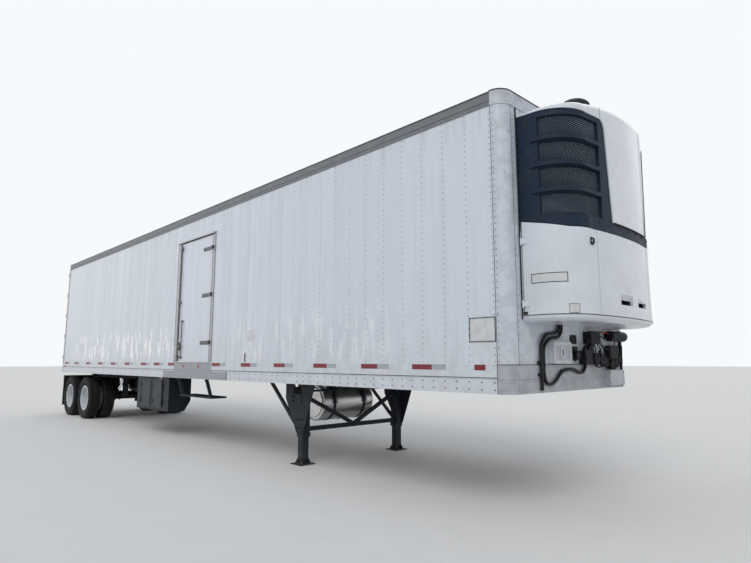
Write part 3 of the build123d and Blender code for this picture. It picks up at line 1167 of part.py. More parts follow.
# Round fittings on the front wall: across it, over the rail's top, radius and how far they stand out
NOSE_ROUNDS = (
    (-90, 100, 62, 30), (-90, 100, 44, 75), (335, 62, 60, 70), (480, 55, 60, 70), (610, 20, 52, 60),
    (760, -5, 55, 70), (900, 15, 50, 60), (1010, 60, 42, 55),
)
NOSE_CYLINDER = (700, 1090, 325, 60)
NOSE_LIP_DEPTH = 12
NOSE_LIP_HEIGHT = 25
HOSE_RADIUS = 17
HOSE_X = X_FRONT + HOSE_RADIUS + 4
# Each hose on the front wall, from the unit's lip, as (across, over the rail's top)
HOSE_ROUTES = (
    ((-405, 410), (-405, 330), (-680, 302), (-782, 210), (-790, -254)),
    ((-355, 410), (-355, 285), (-620, 262), (-738, 178), (-748, -90), (-715, -185), (-610, -205),
     (-505, -160), (-410, -85), (-300, -58), (-180, -50), (-95, -62), (-10, -92), (85, -88), (135, -45), (150, -6)),
)
# Clips that hold the hoses to the wall: across it, over the rail's top, and half their width
HOSE_CLIPS = ((-769, 20, 62), (-769, -100, 62), (-345, -68, 40))


def hose(route):
    """One hose: straight runs joined by tangent arcs, each as large as its runs allow."""
    points = [Vector(HOSE_X, y, RAIL_TOP_Z + z) for y, z in route]
    runs = [(b - a).length for a, b in zip(points, points[1:])]
    room = [0.9 * runs[0]] + [0.45 * run for run in runs[1:-1]] + [0.9 * runs[-1]]
    radii = []
    for i, (before, at, after) in enumerate(zip(points, points[1:], points[2:])):
        turn = radians((at - before).get_angle(after - at))
        radii.append(min(room[i], room[i + 1]) / tan(turn / 2))
    path = FilletPolyline(*points, radius=radii)
    start = Plane(origin=points[0], z_dir=(points[1] - points[0]).normalized())
    tube = sweep(start * Circle(HOSE_RADIUS), path=path)
    expected = pi * HOSE_RADIUS ** 2 * path.length
    print("hose", round(path.length), "mm, volume ratio", round(tube.volume / expected, 4),
          "least radius", round(min(radii)))
    return tube


def nose_fittings():
    """Boxes, connectors and hoses on the front wall below the unit."""
    x = FRONT_SKIN_X
    z = RAIL_TOP_Z
    document_box = block(x, x + 60, -590, -225, z + 15, z + 230)
    document_box -= block(x + 54, x + 61, -560, -255, z + 45, z + 200)
    NODES["document_box"] = document_box
    pieces = []
    for y0, y1, low, high, depth in NOSE_BOXES:
        pieces.append(block(x if low >= 0 else X_FRONT, x + depth, y0, y1, z + low, z + high))
    for y, height, radius, depth in NOSE_ROUNDS:
        foot = x if height - radius >= 0 else X_FRONT
        pieces.append(rod((foot, y, z + height), (x + depth, y, z + height), radius))
    y0, y1, height, radius = NOSE_CYLINDER
    pieces.append(rod((x + radius + 8, y0, z + height), (x + radius + 8, y1, z + height), radius))
    pieces.append(block(X_FRONT, X_FRONT + 60, 675, 1060, z - 245, z - 75))
    pieces.append(block(x, x + 36, 1095, 1128, z, z + 400))
    for y, height, half in HOSE_CLIPS:
        foot = x if height > 20 else X_FRONT
        pieces.append(block(foot, HOSE_X, y - half, y + half, z + height - 14, z + height + 14))
    panel = pieces[0]
    for piece in pieces[1:]:
        panel += piece
    hoses = [hose(route) for route in HOSE_ROUTES]
    for tube in hoses:
        panel -= tube
    NODES["connector_panel"] = group([panel])
    NODES["nose_hoses"] = group(hoses)


def build():
    """Make every piece of the trailer."""
    side_walls()
    front_wall()
    roof()
    top_rails()
    bottom_rails()
    floor()
    rear_frame()
    rear_doors()
    lamps()
    side_door()
    wheels()
    slider_frame()
    suspension()
    rear_guard()
    landing_gear()
    coupler()
    fuel_tank()
    equipment_box()
    side_step()
    unit_base()
    unit_doors()
    unit_upper()
    unit_inside()
    evaporator_housing()
    nose_fittings()


build()
os.makedirs("parts", exist_ok=True)
for node, shape in NODES.items():
    export_step(shape, "parts/" + node + ".step")
print(len(NODES), "nodes")
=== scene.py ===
"""Dresses a packed refrigerated van trailer: finishes, rivets, tape, tread, bolts and small fittings.

Metres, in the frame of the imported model: +X forward, +Y to the road side, +Z up.
"""
import json
from itertools import product
from math import atan2, copysign, cos, hypot, pi, radians, sin

import bpy
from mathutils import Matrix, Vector


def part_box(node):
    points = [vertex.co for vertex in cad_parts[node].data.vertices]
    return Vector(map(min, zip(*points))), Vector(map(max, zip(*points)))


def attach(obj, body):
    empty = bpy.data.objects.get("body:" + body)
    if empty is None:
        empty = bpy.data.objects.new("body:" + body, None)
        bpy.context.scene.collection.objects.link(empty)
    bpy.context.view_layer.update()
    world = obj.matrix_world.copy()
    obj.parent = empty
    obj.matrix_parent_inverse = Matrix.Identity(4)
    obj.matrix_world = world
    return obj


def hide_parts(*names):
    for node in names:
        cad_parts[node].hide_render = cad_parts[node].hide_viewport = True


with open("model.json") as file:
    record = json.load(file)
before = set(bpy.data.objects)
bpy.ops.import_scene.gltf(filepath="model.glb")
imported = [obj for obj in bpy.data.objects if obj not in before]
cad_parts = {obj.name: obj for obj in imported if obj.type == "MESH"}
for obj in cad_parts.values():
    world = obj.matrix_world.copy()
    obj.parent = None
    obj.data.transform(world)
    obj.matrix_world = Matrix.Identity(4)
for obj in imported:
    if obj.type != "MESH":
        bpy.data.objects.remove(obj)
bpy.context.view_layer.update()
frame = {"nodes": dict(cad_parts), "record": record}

# Directions, and the axes' places in a vector
AHEAD, BACK = (1, 0, 0), (-1, 0, 0)
UP, DOWN = (0, 0, 1), (0, 0, -1)
TO_ROAD, TO_CURB = (0, 1, 0), (0, -1, 0)
X, Y, Z = 0, 1, 2
SIDES = (("curb", -1), ("road", 1))

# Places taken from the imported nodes
RAIL_LOW, RAIL_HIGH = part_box("bottom_rails")
TOP_LOW, TOP_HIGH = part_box("top_rails")
WALL_LOW, WALL_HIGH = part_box("side_wall_curb")
FRAME_LOW, FRAME_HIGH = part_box("side_door_frame")
DOOR_LOW, DOOR_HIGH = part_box("side_door")
X_FRONT = RAIL_HIGH.x
HALF_WIDTH = RAIL_HIGH.y
CURB_Y = -HALF_WIDTH
X_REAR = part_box("rear_frame")[1].x - 0.08
ROOF_Z = TOP_HIGH.z
SKIN_Y = -WALL_LOW.y
SEAM_X = WALL_HIGH.x
NOSE_X = X_FRONT - (HALF_WIDTH - SKIN_Y)
CORNER_RADIUS = 0.15

# Riveting of the walls, rails and doors
PANEL_PITCH = 0.305
RIVET_PITCH = 0.0635
DOOR_PITCH = RIVET_PITCH * 1.5
RIVET_RADIUS = 0.0075
RIVET_HEIGHT = 0.0022
RAIL_RIVET_ROWS = (1.169, 1.239)
TOP_RIVET_Z = TOP_LOW.z + 0.022
# RAIL_LINE_Z: heights of a dark strip that paints shade along the bottom rail's groove
RAIL_LINE_Z = (1.279, 1.286)
NOSE_SEAM_Y = 1.145
NOSE_EDGE_Y = 1.118

# Reflective tape on the bottom rails: where each red piece starts, and the short last one
TAPE_Z = (1.354, 1.409)
TAPE_RED = 0.28
TAPE_WHITE = 0.19
TAPE_STARTS = (-7.33, -6.44, -5.47, -4.54, -3.66, -2.78, -1.86, -1.19, -0.51, 1.23, 2.18, 3.1, 4.04,
               4.98, 5.81)
TAPE_LAST = (6.64, 6.77)

# Door fittings
SIDE_HINGE_Z = (1.754, 2.584, 3.414)
REAR_HINGE_Z = (1.554, 2.135, 2.716, 3.298, 3.879)
REAR_GUIDE_Z = (1.464, 2.09, 2.717, 3.343, 3.969)
LOCK_ROD_Y = (0.26, 0.76)

# Running gear, legs, tank and box
TYRE_RADIUS = 0.511
TYRE_HALF = 0.139
TYRE_STEPS = 168
STUD_CIRCLE = 0.143
HUB_FACE = 0.176
SPRING_Y = 0.46
CHAMBER_Y, CHAMBER_Z = 0.587, 0.561
SLIDER_SIDE_Y, SLIDER_HOLE_Z = 0.4302, 1.063
AIR_LINE_Z = 1.129
AIR_LINE_END = 6.2
AXLE_X = {"front": X_REAR + 2.052, "rear": X_REAR + 0.806}
LEG_X = X_FRONT - 3.68
LEG_Y = 0.95
LEG_FACE = LEG_Y + 0.072
TANK_X = LEG_X - 0.37
TANK_BOTTOM = 0.534
BOX_FACE = 0.0955 - HALF_WIDTH
BOX_ENDS = (-2.195, -0.645)
STEP_TOP_Z = 0.83

# Cooling unit
UNIT_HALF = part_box("unit_cap")[1].y
UNIT_FRONT_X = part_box("unit_cap")[1].x
UNIT_BELT_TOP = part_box("unit_belt")[1].z
GRILLE_HIGH_Z = 3.865

# The camera, as fitted to the photograph's edges
CAMERA_PLACE = Vector((9.951, -5.8045, 1.4485))
CAMERA_YAW = radians(136.32)
CAMERA_PITCH = radians(8.14)
SENSOR_WIDTH = 36.0
FOCAL_PIXELS = 552.6
PHOTO_WIDTH = 751

DUST = (0.36, 0.33, 0.28)
SOOT = (0.07, 0.07, 0.07)
RUST = (0.23, 0.09, 0.035)
# Nodes that wear another finish than their slot's plain one: worn finishes, and finishes with painted shade
WORN_AND_SHADED = {"front_wall": "nose_white", "connector_panel": "fitting_dark", "nose_hoses": "cable_black",
        "side_door_hardware": "hardware_shade_and_rust", "fuel_tank_straps": "trim_dark"}
# Each finish, worn and for some darkened as painted shade: its colour, its roughness, and what else sets it
# apart
FINISH_TABLE = {
    "rail_white": ((0.62, 0.66, 0.71), 0.4, dict(dirty=0.25, scale=4.0, coat=0.1,
                                                  ahead=(0.42, 0.425, 0.475))),
    "rail_grey": ((0.15, 0.165, 0.185), 0.5, dict(dirty=0.2, scale=3.0, ahead=(0.56, 0.6, 0.66))),
    "liner": ((0.66, 0.66, 0.62), 0.45, dict(dirty=0.25)),
    "floor_metal": ((0.55, 0.56, 0.57), 0.42, dict(metal=0.9, dirt=SOOT, dirty=0.4, stretch=(0.2, 3, 1))),
    "bare_steel": ((0.42, 0.43, 0.44), 0.45, dict(metal=0.75, rust=0.3)),
    "dark_frame": ((0.016, 0.021, 0.028), 0.55, dict(dirty=0.05, low_z=(0.0, 0.25), rust=0.15)),
    "galvanised": ((0.47, 0.49, 0.5), 0.48, dict(metal=0.8, scale=22.0)),
    "tank_metal": ((0.62, 0.62, 0.62), 0.3, dict(metal=0.95, stretch=(1, 0.1, 1), fine=300.0)),
    # box_dark and box_grey: the box's dark grey made darker still, as painted shade under the trailer
    "box_dark": ((0.01, 0.014, 0.02), 0.45, dict(dirty=0.03, low_z=(0.35, 0.6))),
    "box_grey": ((0.03, 0.043, 0.054), 0.45, dict(dirty=0.03, low_z=(0.45, 0.75))),
    "tyre_rubber": ((0.012, 0.013, 0.015), 0.78, dict(dirty=0.06, low_z=(0.0, 0.3))),
    "wheel_white": ((0.62, 0.66, 0.7), 0.42, dict(scale=9.0, rust=0.2)),
    "axle_black": ((0.014, 0.015, 0.018), 0.5, dict(dirty=0.08, low_z=(0.2, 0.6), rust=0.2)),
    "black_rubber": ((0.013, 0.014, 0.016), 0.72, dict(dirty=0.06, low_z=(0.0, 0.5))),
    # unit_white: white paint tinted blue, as painted cool shade light
    "unit_white": ((0.68, 0.72, 0.78), 0.28, dict(dirty=0.1, scale=2.0, depth=0.0002, coat=0.35)),
    "unit_dark": ((0.01, 0.021, 0.042), 0.55, dict(dirty=0.03, scale=3.0, fine=420.0)),
    "grille_black": ((0.012, 0.014, 0.018), 0.45, dict(dirty=0.1)),
    "coil_metal": ((0.02, 0.026, 0.034), 0.6, dict(metal=0.2, dirty=0.06)),
    "lamp_red": ((0.36, 0.015, 0.012), 0.2, dict(dirty=0.1, coat=0.6)),
    "engine_grey": ((0.12, 0.125, 0.13), 0.55, dict(metal=0.3, dirt=SOOT, dirty=0.5)),
    "kingpin_steel": ((0.1, 0.095, 0.09), 0.35, dict(metal=0.8, dirt=SOOT, dirty=0.5)),
    # The white rivet heads made dark grey: painted shade, and dirt
    "rivet_shade_and_dirt": ((0.17, 0.19, 0.225), 0.42, dict(dirty=0.25, scale=30.0)),
    "rivet_grey": ((0.1, 0.115, 0.135), 0.42, dict(metal=0.3, dirty=0.3, scale=30.0)),
    "trim_dark": ((0.026, 0.032, 0.042), 0.5, dict(dirty=0.05)),
    "tape_red": ((0.19, 0.006, 0.016), 0.4, dict(dirty=0.04, scale=12.0)),
    "tape_white": ((0.36, 0.39, 0.43), 0.32, dict(dirty=0.2, scale=12.0, coat=0.3)),
    "worn_metal": ((0.31, 0.335, 0.37), 0.42, dict(metal=0.2, dirty=0.45, scale=7.0)),
    "reflector_red": ((0.42, 0.02, 0.015), 0.12, dict(dirty=0.05, coat=0.8)),
    "placard_white": ((0.62, 0.64, 0.66), 0.45, dict(dirty=0.3, scale=10.0)),
    "bolt_zinc": ((0.4, 0.41, 0.42), 0.38, dict(metal=0.85, dirt=SOOT, dirty=0.4, scale=40.0)),
    "bolt_dark": ((0.02, 0.02, 0.022), 0.55, dict(metal=0.4, dirty=0.1, scale=30.0, rust=0.4)),
    "seal_black": ((0.02, 0.02, 0.022), 0.65, dict(dirty=0.08, scale=12.0)),
    "grip_black": ((0.016, 0.016, 0.017), 0.42, dict(dirty=0.05, scale=12.0)),
    "nut_steel": ((0.3, 0.29, 0.28), 0.42, dict(metal=0.8, dirty=0.5, scale=40.0, rust=0.6)),
    "hub_dark": ((0.045, 0.045, 0.048), 0.45, dict(metal=0.3, dirty=0.2, scale=20.0)),
    "coil_tube": ((0.028, 0.034, 0.044), 0.45, dict(metal=0.4, dirty=0.06, scale=20.0)),
    "box_white": ((0.66, 0.69, 0.72), 0.38, dict(scale=12.0)),
    "plate_pale": ((0.5, 0.53, 0.57), 0.45, dict(metal=0.15, dirty=0.4, scale=9.0)),
    "fitting_dark": ((0.007, 0.009, 0.012), 0.6, dict(dirty=0.03, scale=14.0, rust=0.1)),
    "cable_black": ((0.01, 0.011, 0.013), 0.45, dict(dirty=0.03, scale=30.0)),
    "cable_red": ((0.3, 0.02, 0.015), 0.45, dict(dirty=0.3, scale=30.0)),
    "box_rib": ((0.02, 0.028, 0.035), 0.45, dict(dirty=0.03, scale=9.0)),
    "tag_rose": ((0.42, 0.22, 0.21), 0.45, dict(dirty=0.2, scale=20.0)),
    "mesh_grey": ((0.125, 0.165, 0.215), 0.6, dict(dirty=0.02, scale=20.0)),
    # The side door's hardware darkened as painted shade, with real rust spots
    "hardware_shade_and_rust": ((0.085, 0.095, 0.105), 0.45, dict(metal=0.4, dirty=0.3, scale=16.0, rust=0.4)),
    # hole_painted_shade: black sheets in holes and openings, as painted shade
    "hole_painted_shade": ((0.004, 0.004, 0.004), 0.9, dict(dirty=0.05)),
}


def scaled(colour, factor, most=1.0):
    """A colour made darker or lighter."""
    return tuple(min(c * factor, most) for c in colour)


class Paint:
    """A procedural material laid over the object's own metres."""

    def __init__(self, name):
        self.material = bpy.data.materials.new(name)
        self.material.use_nodes = True
        self.tree = self.material.node_tree
        self.shader = self.tree.nodes["Principled BSDF"]
        self.place = self.add("ShaderNodeTexCoord").outputs["Object"]
        self.x, self.y, self.z = self.add("ShaderNodeSeparateXYZ", Vector=self.place).outputs

    def add(self, kind, settings=None, **inputs):
        """A node with its settings and its named inputs."""
        node = self.tree.nodes.new(kind)
        for key, value in (settings or {}).items():
            setattr(node, key, value)
        for key, value in inputs.items():
            self.put(node.inputs[key], value)
        return node

    def put(self, socket, value):
        """Links a socket to another, or sets its number or colour."""
        if isinstance(value, bpy.types.NodeSocket):
            self.tree.links.new(value, socket)
        elif isinstance(value, (tuple, list)) and socket.type == "RGBA":
            socket.default_value = (*value, 1.0)
        else:
            socket.default_value = value

    def math(self, operation, first, second, clamp=False):
        node = self.add("ShaderNodeMath", {"operation": operation, "use_clamp": clamp})
        self.put(node.inputs[0], first)
        self.put(node.inputs[1], second)
        return node.outputs[0]

    def step(self, value, low, high):
        """Rises smoothly from 0 at low to 1 at high."""
        node = self.add("ShaderNodeMapRange", {"interpolation_type": "SMOOTHSTEP"}, Value=value)
        self.put(node.inputs["From Min"], low)
        self.put(node.inputs["From Max"], high)
        return node.outputs["Result"]

    def band(self, value, low, high, soft):
        """1 between low and high, with soft edges."""
        rise = self.step(value, low - soft, low + soft)
        return self.math("MULTIPLY", rise, self.step(value, high + soft, high - soft))

    def grain(self, scale, detail, rough, stretch=(1, 1, 1)):
        """Smooth noise, about 0.5 on average."""
        mapping = self.add("ShaderNodeMapping", Vector=self.place)
        mapping.inputs["Scale"].default_value = stretch
        noise = self.add("ShaderNodeTexNoise", Vector=mapping.outputs["Vector"], Scale=scale, Detail=detail,
                         Roughness=rough)
        return noise.outputs["Fac"]

    def spots(self, scale, low, high, stretch=(1, 1, 1)):
        """A mask of blotches that cover less as low and high rise."""
        return self.step(self.grain(scale, 6.0, 0.6, stretch), low, high)

    def share(self, amount, *masks):
        """The product of masks times an amount."""
        value = amount
        for mask in masks:
            value = self.math("MULTIPLY", mask, value)
        return value

    def mix(self, share, first, second):
        """A colour between two others."""
        node = self.add("ShaderNodeMix", {"data_type": "RGBA"})
        self.put(node.inputs["Factor"], share)
        self.put(node.inputs[6], first)
        self.put(node.inputs[7], second)
        return node.outputs[2]

    def cover(self, shade, colour, amount, *masks):
        """A shade under another colour, where all the masks are."""
        return self.mix(self.share(amount, *masks), shade, colour)

    def plus(self, value, other, amount):
        """A value plus a share of another."""
        return self.math("ADD", value, self.share(amount, other))

    def finish(self, colour, rough, metal=0.0, bump=None, depth=0.001, strength=1.0, coat=0.0, shine=0.5):
        """Sets the shader and returns the material."""
        self.put(self.shader.inputs["Base Color"], colour)
        self.put(self.shader.inputs["Roughness"], rough)
        self.put(self.shader.inputs["Metallic"], metal)
        self.shader.inputs["Specular IOR Level"].default_value = shine
        self.shader.inputs["Coat Weight"].default_value = coat
        self.shader.inputs["Coat Roughness"].default_value = 0.15
        if bump is not None:
            node = self.add("ShaderNodeBump", Height=bump, Strength=strength, Distance=depth)
            self.put(self.shader.inputs["Normal"], node.outputs["Normal"])
        return self.material


def weathered(name, colour, rough, metal=0.0, dirt=DUST, dirty=0.35, low_z=None, scale=5.0, depth=0.0006,
              fine=140.0, stretch=(1, 1, 1), rust=0.0, coat=0.0, ahead=None):
    """A worn finish: mottled colour, dirt in blotches and near the ground, and a fine uneven surface.

    Ahead of the walls' front seam the other colour, ahead, may take over.
    """
    paint = Paint(name)
    tone = paint.grain(scale, 6.0, 0.6, stretch)
    shade = paint.mix(tone, scaled(colour, 0.8), scaled(colour, 1.12, 0.95))
    if ahead:
        mottled = paint.mix(paint.spots(6.0, 0.42, 0.62), ahead, scaled(ahead, 0.8))
        shade = paint.mix(paint.step(paint.x, SEAM_X - 0.002, SEAM_X + 0.002), shade, mottled)
    patches = paint.share(dirty, paint.spots(scale * 1.7, 0.45, 0.72, stretch))
    if low_z is not None:
        near = paint.step(paint.z, low_z[1], low_z[0])
        smear = paint.spots(scale * 3.0, 0.3, 0.62, (1, 1, 0.35))
        patches = paint.math("MAXIMUM", patches, paint.share(min(dirty * 2, 0.9), near, smear))
    shade = paint.mix(patches, shade, dirt)
    if rust:
        shade = paint.cover(shade, RUST, rust, paint.spots(scale * 6.0, 0.6, 0.68))
    roughness = paint.math("ADD", paint.share(0.18, tone), rough - 0.09)
    roughness = paint.math("ADD", roughness, paint.share(0.25, patches), clamp=True)
    shine = 0.2 if max(colour) < 0.06 else 0.5
    uneven = paint.grain(fine, 3.0, 0.6, stretch)
    return paint.finish(shade, roughness, metal, uneven, depth, 0.6, coat, shine)


def scuffs(paint):
    """Worn patches low on the walls: strong behind the side door, faint ahead of it and on the road side."""
    middle = paint.band(paint.z, 1.46, 2.08, 0.14)
    marks = paint.spots(12.0, 0.53, 0.58, (0.95, 1.0, 0.26))
    behind = paint.share(0.95, paint.band(paint.x, -6.6, -0.4, 0.5), middle, marks)
    ahead = paint.share(0.32, paint.band(paint.x, 1.9, 5.5, 0.4), middle, marks)
    curb = paint.math("MAXIMUM", paint.step(paint.y, 0.2, -0.2), 0.3)
    return paint.share(1.0, paint.math("MAXIMUM", behind, ahead), curb)


def skin_paint(name, colour, scuffed=False, spotted=False):
    """White sheet: panels that differ a little, soft dents, streaks, dust low down and dark specks."""
    paint = Paint(name)
    number = paint.math("DIVIDE", paint.math("SUBTRACT", paint.x, SEAM_X - 0.022), PANEL_PITCH)
    number = paint.math("FLOOR", number, 0.0)
    tint = paint.add("ShaderNodeTexWhiteNoise", {"noise_dimensions": "1D"}, W=number).outputs["Value"]
    streaks = paint.grain(3.0, 5.0, 0.6, (3.0, 3.0, 0.12))
    low = paint.step(paint.z, RAIL_HIGH.z + 0.75, RAIL_HIGH.z)
    high = paint.step(paint.z, TOP_LOW.z - 0.45, TOP_LOW.z)
    # Each layer over the ones before it: its colour, how strong it is, and where it lies
    layers = [
        (scaled(colour, 0.88), 0.5, tint),
        (scaled(colour, 0.85), 0.55, paint.step(streaks, 0.45, 0.75)),
        ((0.5, 0.49, 0.46), 0.42, low, paint.spots(7.0, 0.38, 0.7, (1.4, 1.4, 0.5))),
        ((0.34, 0.34, 0.33), 0.3, high, paint.spots(14.0, 0.48, 0.7, (1.0, 1.0, 0.06))),
        ((0.26, 0.26, 0.26), 0.55, paint.spots(60.0, 0.7, 0.76)),
    ]
    rough = paint.plus(0.3, streaks, 0.18)
    if scuffed:
        worn = scuffs(paint)
        layers.append(((0.93, 0.94, 0.95), 1.0, worn))
        rough = paint.plus(rough, worn, 0.2)
    if spotted:
        layers.append((scaled(colour, 0.72), 0.55, paint.spots(9.0, 0.4, 0.62)))
        upper = paint.step(paint.z, 2.0, 3.8)
        layers.append(((0.27, 0.2, 0.15), 0.8, paint.spots(32.0, 0.615, 0.665), upper))
    shade = colour
    for layer in layers:
        shade = paint.cover(shade, *layer)
    relief = paint.plus(paint.grain(1.6, 2.0, 0.5, (1.6, 1.0, 0.7)), paint.grain(220.0, 2.0, 0.5), 0.004)
    return paint.finish(shade, rough, 0.0, relief, 0.09, 0.45, coat=0.25)


def make_materials():
    """One finish for each slot of the record, and more for what the scene adds."""
    made = {}
    for name, (colour, rough, more) in FINISH_TABLE.items():
        made[name] = weathered(name, colour, rough, **more)
    # white_skin and nose_white: white paint set darker and bluer than it is, as painted open shade
    made["white_skin"] = skin_paint("white_skin", (0.62, 0.67, 0.74), scuffed=True)
    made["nose_white"] = skin_paint("nose_white", (0.6, 0.65, 0.72), spotted=True)
    return made


def steps_between(low, high, pitch, margin=0.0):
    """Evenly spaced values from low to high, or a margin inside them, about pitch apart."""
    low, high = low + margin, high - margin
    count = max(1, round((high - low) / pitch))
    return [low + (high - low) * k / count for k in range(count + 1)]


def each(value):
    """A list as it is, or a single value as a list of one."""
    return value if isinstance(value, (list, tuple)) else (value,)


def both(*values):
    """Distances from the trailer's middle, on both sides of it."""
    return [sign * value for sign in (-1, 1) for value in values]


def lift(z):
    return Vector((0, 0, z))


def spokes(count, start=0.0):
    """Cosine and sine of equal steps round a full turn."""
    return [(cos(start + 2 * pi * k / count), sin(start + 2 * pi * k / count)) for k in range(count)]


BOX_FACES = ((0, 1, 3, 2), (4, 6, 7, 5), (0, 4, 5, 1), (2, 3, 7, 6), (0, 2, 6, 4), (1, 5, 7, 3))


class Batch:
    """Like small things gathered into one mesh."""

    def __init__(self):
        self.points = []
        self.faces = []

    def add(self, points, faces):
        start = len(self.points)
        self.points.extend(tuple(p) for p in points)
        self.faces.extend(tuple(start + i for i in face) for face in faces)

    def box(self, start, end):
        """A box between two opposite corners."""
        corners = product(*(sorted(pair) for pair in zip(start, end)))
        self.add(corners, BOX_FACES)

    def slabs(self, axis, depth, *rows):
        """Boxes of one depth along an axis; a row is (start, end, start, end) along the other two axes."""
        for a0, a1, b0, b1 in rows:
            start, end = [a0, b0], [a1, b1]
            start.insert(axis, depth[0])
            end.insert(axis, depth[1])
            self.box(start, end)

    def border(self, axis, depth, a0, a1, b0, b1, wide):
        """Four bars inside the edges of a rectangle."""
        self.slabs(axis, depth, (a0, a0 + wide, b0, b1), (a1 - wide, a1, b0, b1), (a0, a1, b0, b0 + wide),
                   (a0, a1, b1 - wide, b1))

    def rings(self, rings, caps=True, loop=False):
        """A skin through rings of points that have equal counts; a loop joins the last to the first."""
        count = len(rings[0])
        faces = []
        for k in range(len(rings) if loop else len(rings) - 1):
            n = (k + 1) % len(rings)
            for i in range(count):
                j = (i + 1) % count
                faces.append((k * count + i, k * count + j, n * count + j, n * count + i))
        if caps and not loop:
            last = (len(rings) - 1) * count
            faces.append(tuple(range(count - 1, -1, -1)))
            faces.append(tuple(last + i for i in range(count)))
        self.add([p for ring in rings for p in ring], faces)

    def turned(self, centre, axis, profile, sides=12, turn=0.0):
        """A turned shape; profile is (distance along the axis, radius) from its start to its end."""
        centre = Vector(centre)
        axis = Vector(axis).normalized()
        across = axis.orthogonal().normalized()
        other = axis.cross(across)
        round_it = [across * c + other * s for c, s in spokes(sides, turn)]
        self.rings([[centre + axis * along + out * radius for out in round_it] for along, radius in profile])

    def button(self, place, axis, radius, low, high, top, sides):
        """A low round piece with a smaller end: its radius up to low, and top as its radius at high."""
        self.turned(place, axis, ((0, radius), (low, radius), (high, top)), sides)

    def rod(self, start, end, radius, sides=10):
        axis = Vector(end) - Vector(start)
        self.turned(start, axis, ((0, radius), (axis.length, radius)), sides)

    def tube(self, points, radius, sides=8):
        """A round tube along a line of points."""
        points = [Vector(p) for p in points]
        rings = []
        normal = None
        for i, point in enumerate(points):
            ahead = (points[min(i + 1, len(points) - 1)] - points[max(i - 1, 0)]).normalized()
            normal = ahead.orthogonal() if normal is None else normal - ahead * normal.dot(ahead)
            normal.normalize()
            other = ahead.cross(normal)
            rings.append([point + (normal * c + other * s) * radius for c, s in spokes(sides)])
        self.rings(rings)

    def rivet(self, place, normal, radius=RIVET_RADIUS, height=RIVET_HEIGHT):
        """The low round head of a rivet."""
        profile = ((-0.0005, radius), (height * 0.6, radius * 0.8), (height, radius * 0.35))
        self.turned(place, normal, profile, 6)

    def bolt(self, place, normal, size, height, washer=True):
        """A six-sided head on a washer."""
        place = Vector(place)
        normal = Vector(normal).normalized()
        if washer:
            self.turned(place, normal, ((-0.001, size * 0.85), (0.003, size * 0.85)), 10)
        self.turned(place + normal * 0.003, normal,
                    ((0, size * 0.58), (height * 0.85, size * 0.58), (height, size * 0.48)), 6)

    def grid(self, head, xs, ys, zs, normal, sizes):
        """Heads at each place of a grid; without a normal they face away from the trailer's middle."""
        for x, y, z in product(each(xs), each(ys), each(zs)):
            head((x, y, z), normal or (0, copysign(1, y), 0), *sizes)

    def rivets(self, xs, ys, zs, normal=None, *sizes):
        self.grid(self.rivet, xs, ys, zs, normal, sizes)

    def bolts(self, xs, ys, zs, normal, *sizes):
        self.grid(self.bolt, xs, ys, zs, normal, sizes)

    def make(self, name, finish, body="trailer", smooth=None):
        """The mesh as an object that rides on a body and wears one of the finishes."""
        mesh = bpy.data.meshes.new(name)
        mesh.from_pydata(self.points, [], self.faces)
        mesh.validate()
        mesh.materials.append(FINISHES[finish])
        thing = bpy.data.objects.new(name, mesh)
        bpy.context.scene.collection.objects.link(thing)
        if smooth is not None:
            mesh.shade_smooth()
            mesh.set_sharp_from_angle(angle=radians(smooth))
        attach(thing, body)
        return thing


def curved(points, steps=8):
    """A smooth line through a few points."""
    points = [Vector(p) for p in points]
    ends = [points[0] * 2 - points[1]] + points + [points[-1] * 2 - points[-2]]
    line = []
    for i in range(1, len(ends) - 2):
        a, b, c, d = ends[i - 1:i + 3]
        for k in range(steps):
            t = k / steps
            line.append(0.5 * ((2 * b) + (c - a) * t + (2 * a - 5 * b + 4 * c - d) * t ** 2
                               + (3 * b - a - 3 * c + d) * t ** 3))
    line.append(points[-1])
    return line


RIVET_Z = steps_between(RAIL_HIGH.z + 0.03, TOP_LOW.z - 0.018, RIVET_PITCH)


def in_doorway(sign, x, z, margin):
    """Whether a place on a wall lies inside the side door's frame."""
    return sign < 0 and FRAME_LOW.x - margin < x < FRAME_HIGH.x + margin and z < FRAME_HIGH.z + margin


